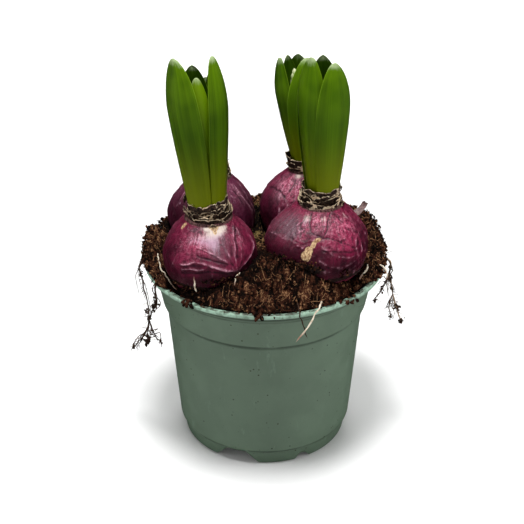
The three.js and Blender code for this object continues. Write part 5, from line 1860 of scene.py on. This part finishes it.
class HYACINTH_OT_bulbs(bpy.types.Operator):
    """Four bulbs with wrinkled purple skins"""

    bl_idname = "hyacinth.bulbs"
    bl_label = "Bulbs"

    def execute(self, context):
        look = context.scene.hyacinth_bulb
        finish = bulb_finish(look)
        for name, plant in PLANTS.items():
            shell = bulb_shell(name, plant, look.wrinkles)
            make_piece(f"skinned_bulb_{name}", shell, finish, [f"bulb_{name}"])
        return {"FINISHED"}


class HYACINTH_OT_scales(bpy.types.Operator):
    """Collars of torn dry scales round the necks"""

    bl_idname = "hyacinth.scales"
    bl_label = "Neck scales"

    def execute(self, context):
        look = context.scene.hyacinth_scales
        finish = scale_finish(look)
        for name, plant in PLANTS.items():
            shell = neck_scales(name, plant, look.flakes)
            make_piece(f"torn_scales_{name}", shell, finish, [f"neck_scales_{name}"])
        return {"FINISHED"}


class HYACINTH_OT_leaves(bpy.types.Operator):
    """Blunt green leaves of the four shoots"""

    bl_idname = "hyacinth.leaves"
    bl_label = "Leaves"

    def execute(self, context):
        finish = leaf_finish(context.scene.hyacinth_leaf)
        seed = 1
        for name, plant in PLANTS.items():
            for leaf_name, leaf in plant.leaves.items():
                shell = leaf_shell(plant, leaf, seed)
                node = f"leaf_{name}_{leaf_name}"
                make_piece(f"blade_{name}_{leaf_name}", shell, finish, [node])
                seed += 1
        return {"FINISHED"}


class HYACINTH_OT_buds(bpy.types.Operator):
    """Flower spikes of closed florets inside the shoots"""

    bl_idname = "hyacinth.buds"
    bl_label = "Flower buds"

    def execute(self, context):
        finish = bud_finish(context.scene.hyacinth_bud)
        for name, plant in PLANTS.items():
            shell = bud_shell(plant)
            make_piece(f"florets_{name}", shell, finish, [f"flower_bud_{name}"])
        return {"FINISHED"}


class HYACINTH_OT_roots(bpy.types.Operator):
    """Loose roots over the lip and on the soil"""

    bl_idname = "hyacinth.roots"
    bl_label = "Roots"

    def execute(self, context):
        look = context.scene.hyacinth_root
        finishes = {"dark_root": dark_root_finish(look), "white_root": white_root_finish(look)}
        for name, slot, hairs, thin, tones in LOOSE_ROOTS:
            shell = root_piece(name, hairs, thin, tones)
            make_piece(f"fine_{name}", shell, finishes[slot], [name])
        for seed, name in enumerate(LYING_ROOTS, start=40):
            shell = lying_root(name, seed)
            make_piece(f"fine_{name}", shell, finishes["white_root"], [name])
        return {"FINISHED"}


class HYACINTH_OT_flap(bpy.types.Operator):
    """Flap of dry skin on the front right bulb"""

    bl_idname = "hyacinth.flap"
    bl_label = "Skin flap"

    def execute(self, context):
        finish = flap_finish(context.scene.hyacinth_root)
        make_piece("curled_skin_flap", flap_shell(), finish, ["skin_flap"])
        return {"FINISHED"}


class HYACINTH_OT_studio(bpy.types.Operator):
    """Plain pale floor, soft light and the camera"""

    bl_idname = "hyacinth.studio"
    bl_label = "Studio"

    def execute(self, context):
        look = context.scene.hyacinth_studio
        make_floor(look)
        make_lights(context.scene, look)
        make_camera(context.scene)
        return {"FINISHED"}


def make_floor(look):
    """Flat square floor just under the pot's foot. It glows far away, where the lights don't reach."""
    mesh = bpy.data.meshes.new("floor")
    corners = [(-1, -1), (1, -1), (1, 1), (-1, 1)]
    mesh.from_pydata([(FLOOR_HALF * x, FLOOR_HALF * y, FLOOR_LEVEL) for x, y in corners], [], [(0, 1, 2, 3)])
    floor = bpy.data.objects.new("floor", mesh)
    bpy.context.scene.collection.objects.link(floor)
    finish = Finish("floor", look.floor)
    place = finish.place
    finish.coat(place.noise(60, 2) * 0.06, tint(236, 236, 234))
    away = place.node("VectorMath", {"operation": "LENGTH"}, {0: place}, "Value")
    finish.put("Emission Color", finish.mix(away.step(*GLOW_REACH), tint(0, 0, 0), tint(255, 255, 255)))
    finish.put("Emission Strength", GLOW)
    mesh.materials.append(finish.done(0.85))
    floor.visible_glossy = False


def soft_light(name, place, target, size, power, mirrored):
    """Square area light that faces a point. Only a mirrored one shows in glossy skins."""
    light = bpy.data.lights.new(name, "AREA")
    light.shape = "SQUARE"
    light.size = size * MM
    light.energy = power
    lamp = bpy.data.objects.new(name, light)
    bpy.context.scene.collection.objects.link(lamp)
    start = np.array(place) * MM
    lamp.location = start
    lamp.visible_glossy = mirrored
    away = np.array(target) * MM - start
    across = math.hypot(away[0], away[1])
    lamp.rotation_euler = (math.atan2(across, -away[2]), 0, math.atan2(away[0], -away[1]) + math.pi)


def make_lights(scene, look):
    """Large light above and behind, soft lights at the sides and an even pale surround."""
    for name, (setting, share, place, target, size) in LIGHTS.items():
        soft_light(name, place, target, size, getattr(look, setting) * share, mirrored=name == "key")
    world = bpy.data.worlds.new("surround")
    world.use_nodes = True
    backdrop = world.node_tree.nodes["Background"]
    backdrop.inputs["Color"].default_value = (1.0, 1.0, 1.0, 1.0)
    backdrop.inputs["Strength"].default_value = look.sky
    world.cycles_visibility.glossy = False
    scene.world = world
    scene.view_settings.view_transform = "Standard"


def make_camera(scene):
    """Camera at the fitted place, tilted down, looking along +Y."""
    camera = bpy.data.cameras.new("camera")
    camera.lens = CAMERA_LENS
    camera.sensor_width = CAMERA_SENSOR
    camera.clip_start = 0.01
    holder = bpy.data.objects.new("camera", camera)
    holder.location = np.array(CAMERA_PLACE) * MM
    holder.rotation_euler = (math.radians(90 - CAMERA_DOWN), 0, 0)
    scene.collection.objects.link(holder)
    scene.camera = holder


SETTINGS = {
    "hyacinth_pot": PotSettings,
    "hyacinth_soil": SoilSettings,
    "hyacinth_bulb": BulbSettings,
    "hyacinth_scales": ScaleSettings,
    "hyacinth_leaf": LeafSettings,
    "hyacinth_bud": BudSettings,
    "hyacinth_root": RootSettings,
    "hyacinth_studio": StudioSettings,
}
OPERATORS = [
    HYACINTH_OT_pot,
    HYACINTH_OT_soil,
    HYACINTH_OT_bulbs,
    HYACINTH_OT_scales,
    HYACINTH_OT_leaves,
    HYACINTH_OT_buds,
    HYACINTH_OT_roots,
    HYACINTH_OT_flap,
    HYACINTH_OT_studio,
]


class HYACINTH_PT_pieces(bpy.types.Panel):
    """Settings and pieces of the potted hyacinth bulbs"""

    bl_label = "Hyacinth"
    bl_idname = "HYACINTH_PT_pieces"
    bl_space_type = "VIEW_3D"
    bl_region_type = "UI"
    bl_category = "Hyacinth"

    def draw(self, context):
        for name, group in SETTINGS.items():
            box = self.layout.box()
            box.label(text=name.split("_")[1].capitalize())
            settings = getattr(context.scene, name)
            for key in group.__annotations__:
                box.prop(settings, key)
        for operator in OPERATORS:
            self.layout.operator(operator.bl_idname)


CLASSES = [*SETTINGS.values(), *OPERATORS, HYACINTH_PT_pieces]


def register():
    for kind in CLASSES:
        bpy.utils.register_class(kind)
    for name, group in SETTINGS.items():
        setattr(bpy.types.Scene, name, bpy.props.PointerProperty(type=group))


def unregister():
    for name in SETTINGS:
        delattr(bpy.types.Scene, name)
    for kind in reversed(CLASSES):
        bpy.utils.unregister_class(kind)


def main():
    register()
    bpy.ops.hyacinth.pot()
    bpy.ops.hyacinth.soil()
    bpy.ops.hyacinth.bulbs()
    bpy.ops.hyacinth.scales()
    bpy.ops.hyacinth.leaves()
    bpy.ops.hyacinth.buds()
    bpy.ops.hyacinth.roots()
    bpy.ops.hyacinth.flap()
    bpy.ops.hyacinth.studio()


if __name__ == "__main__":
    main()
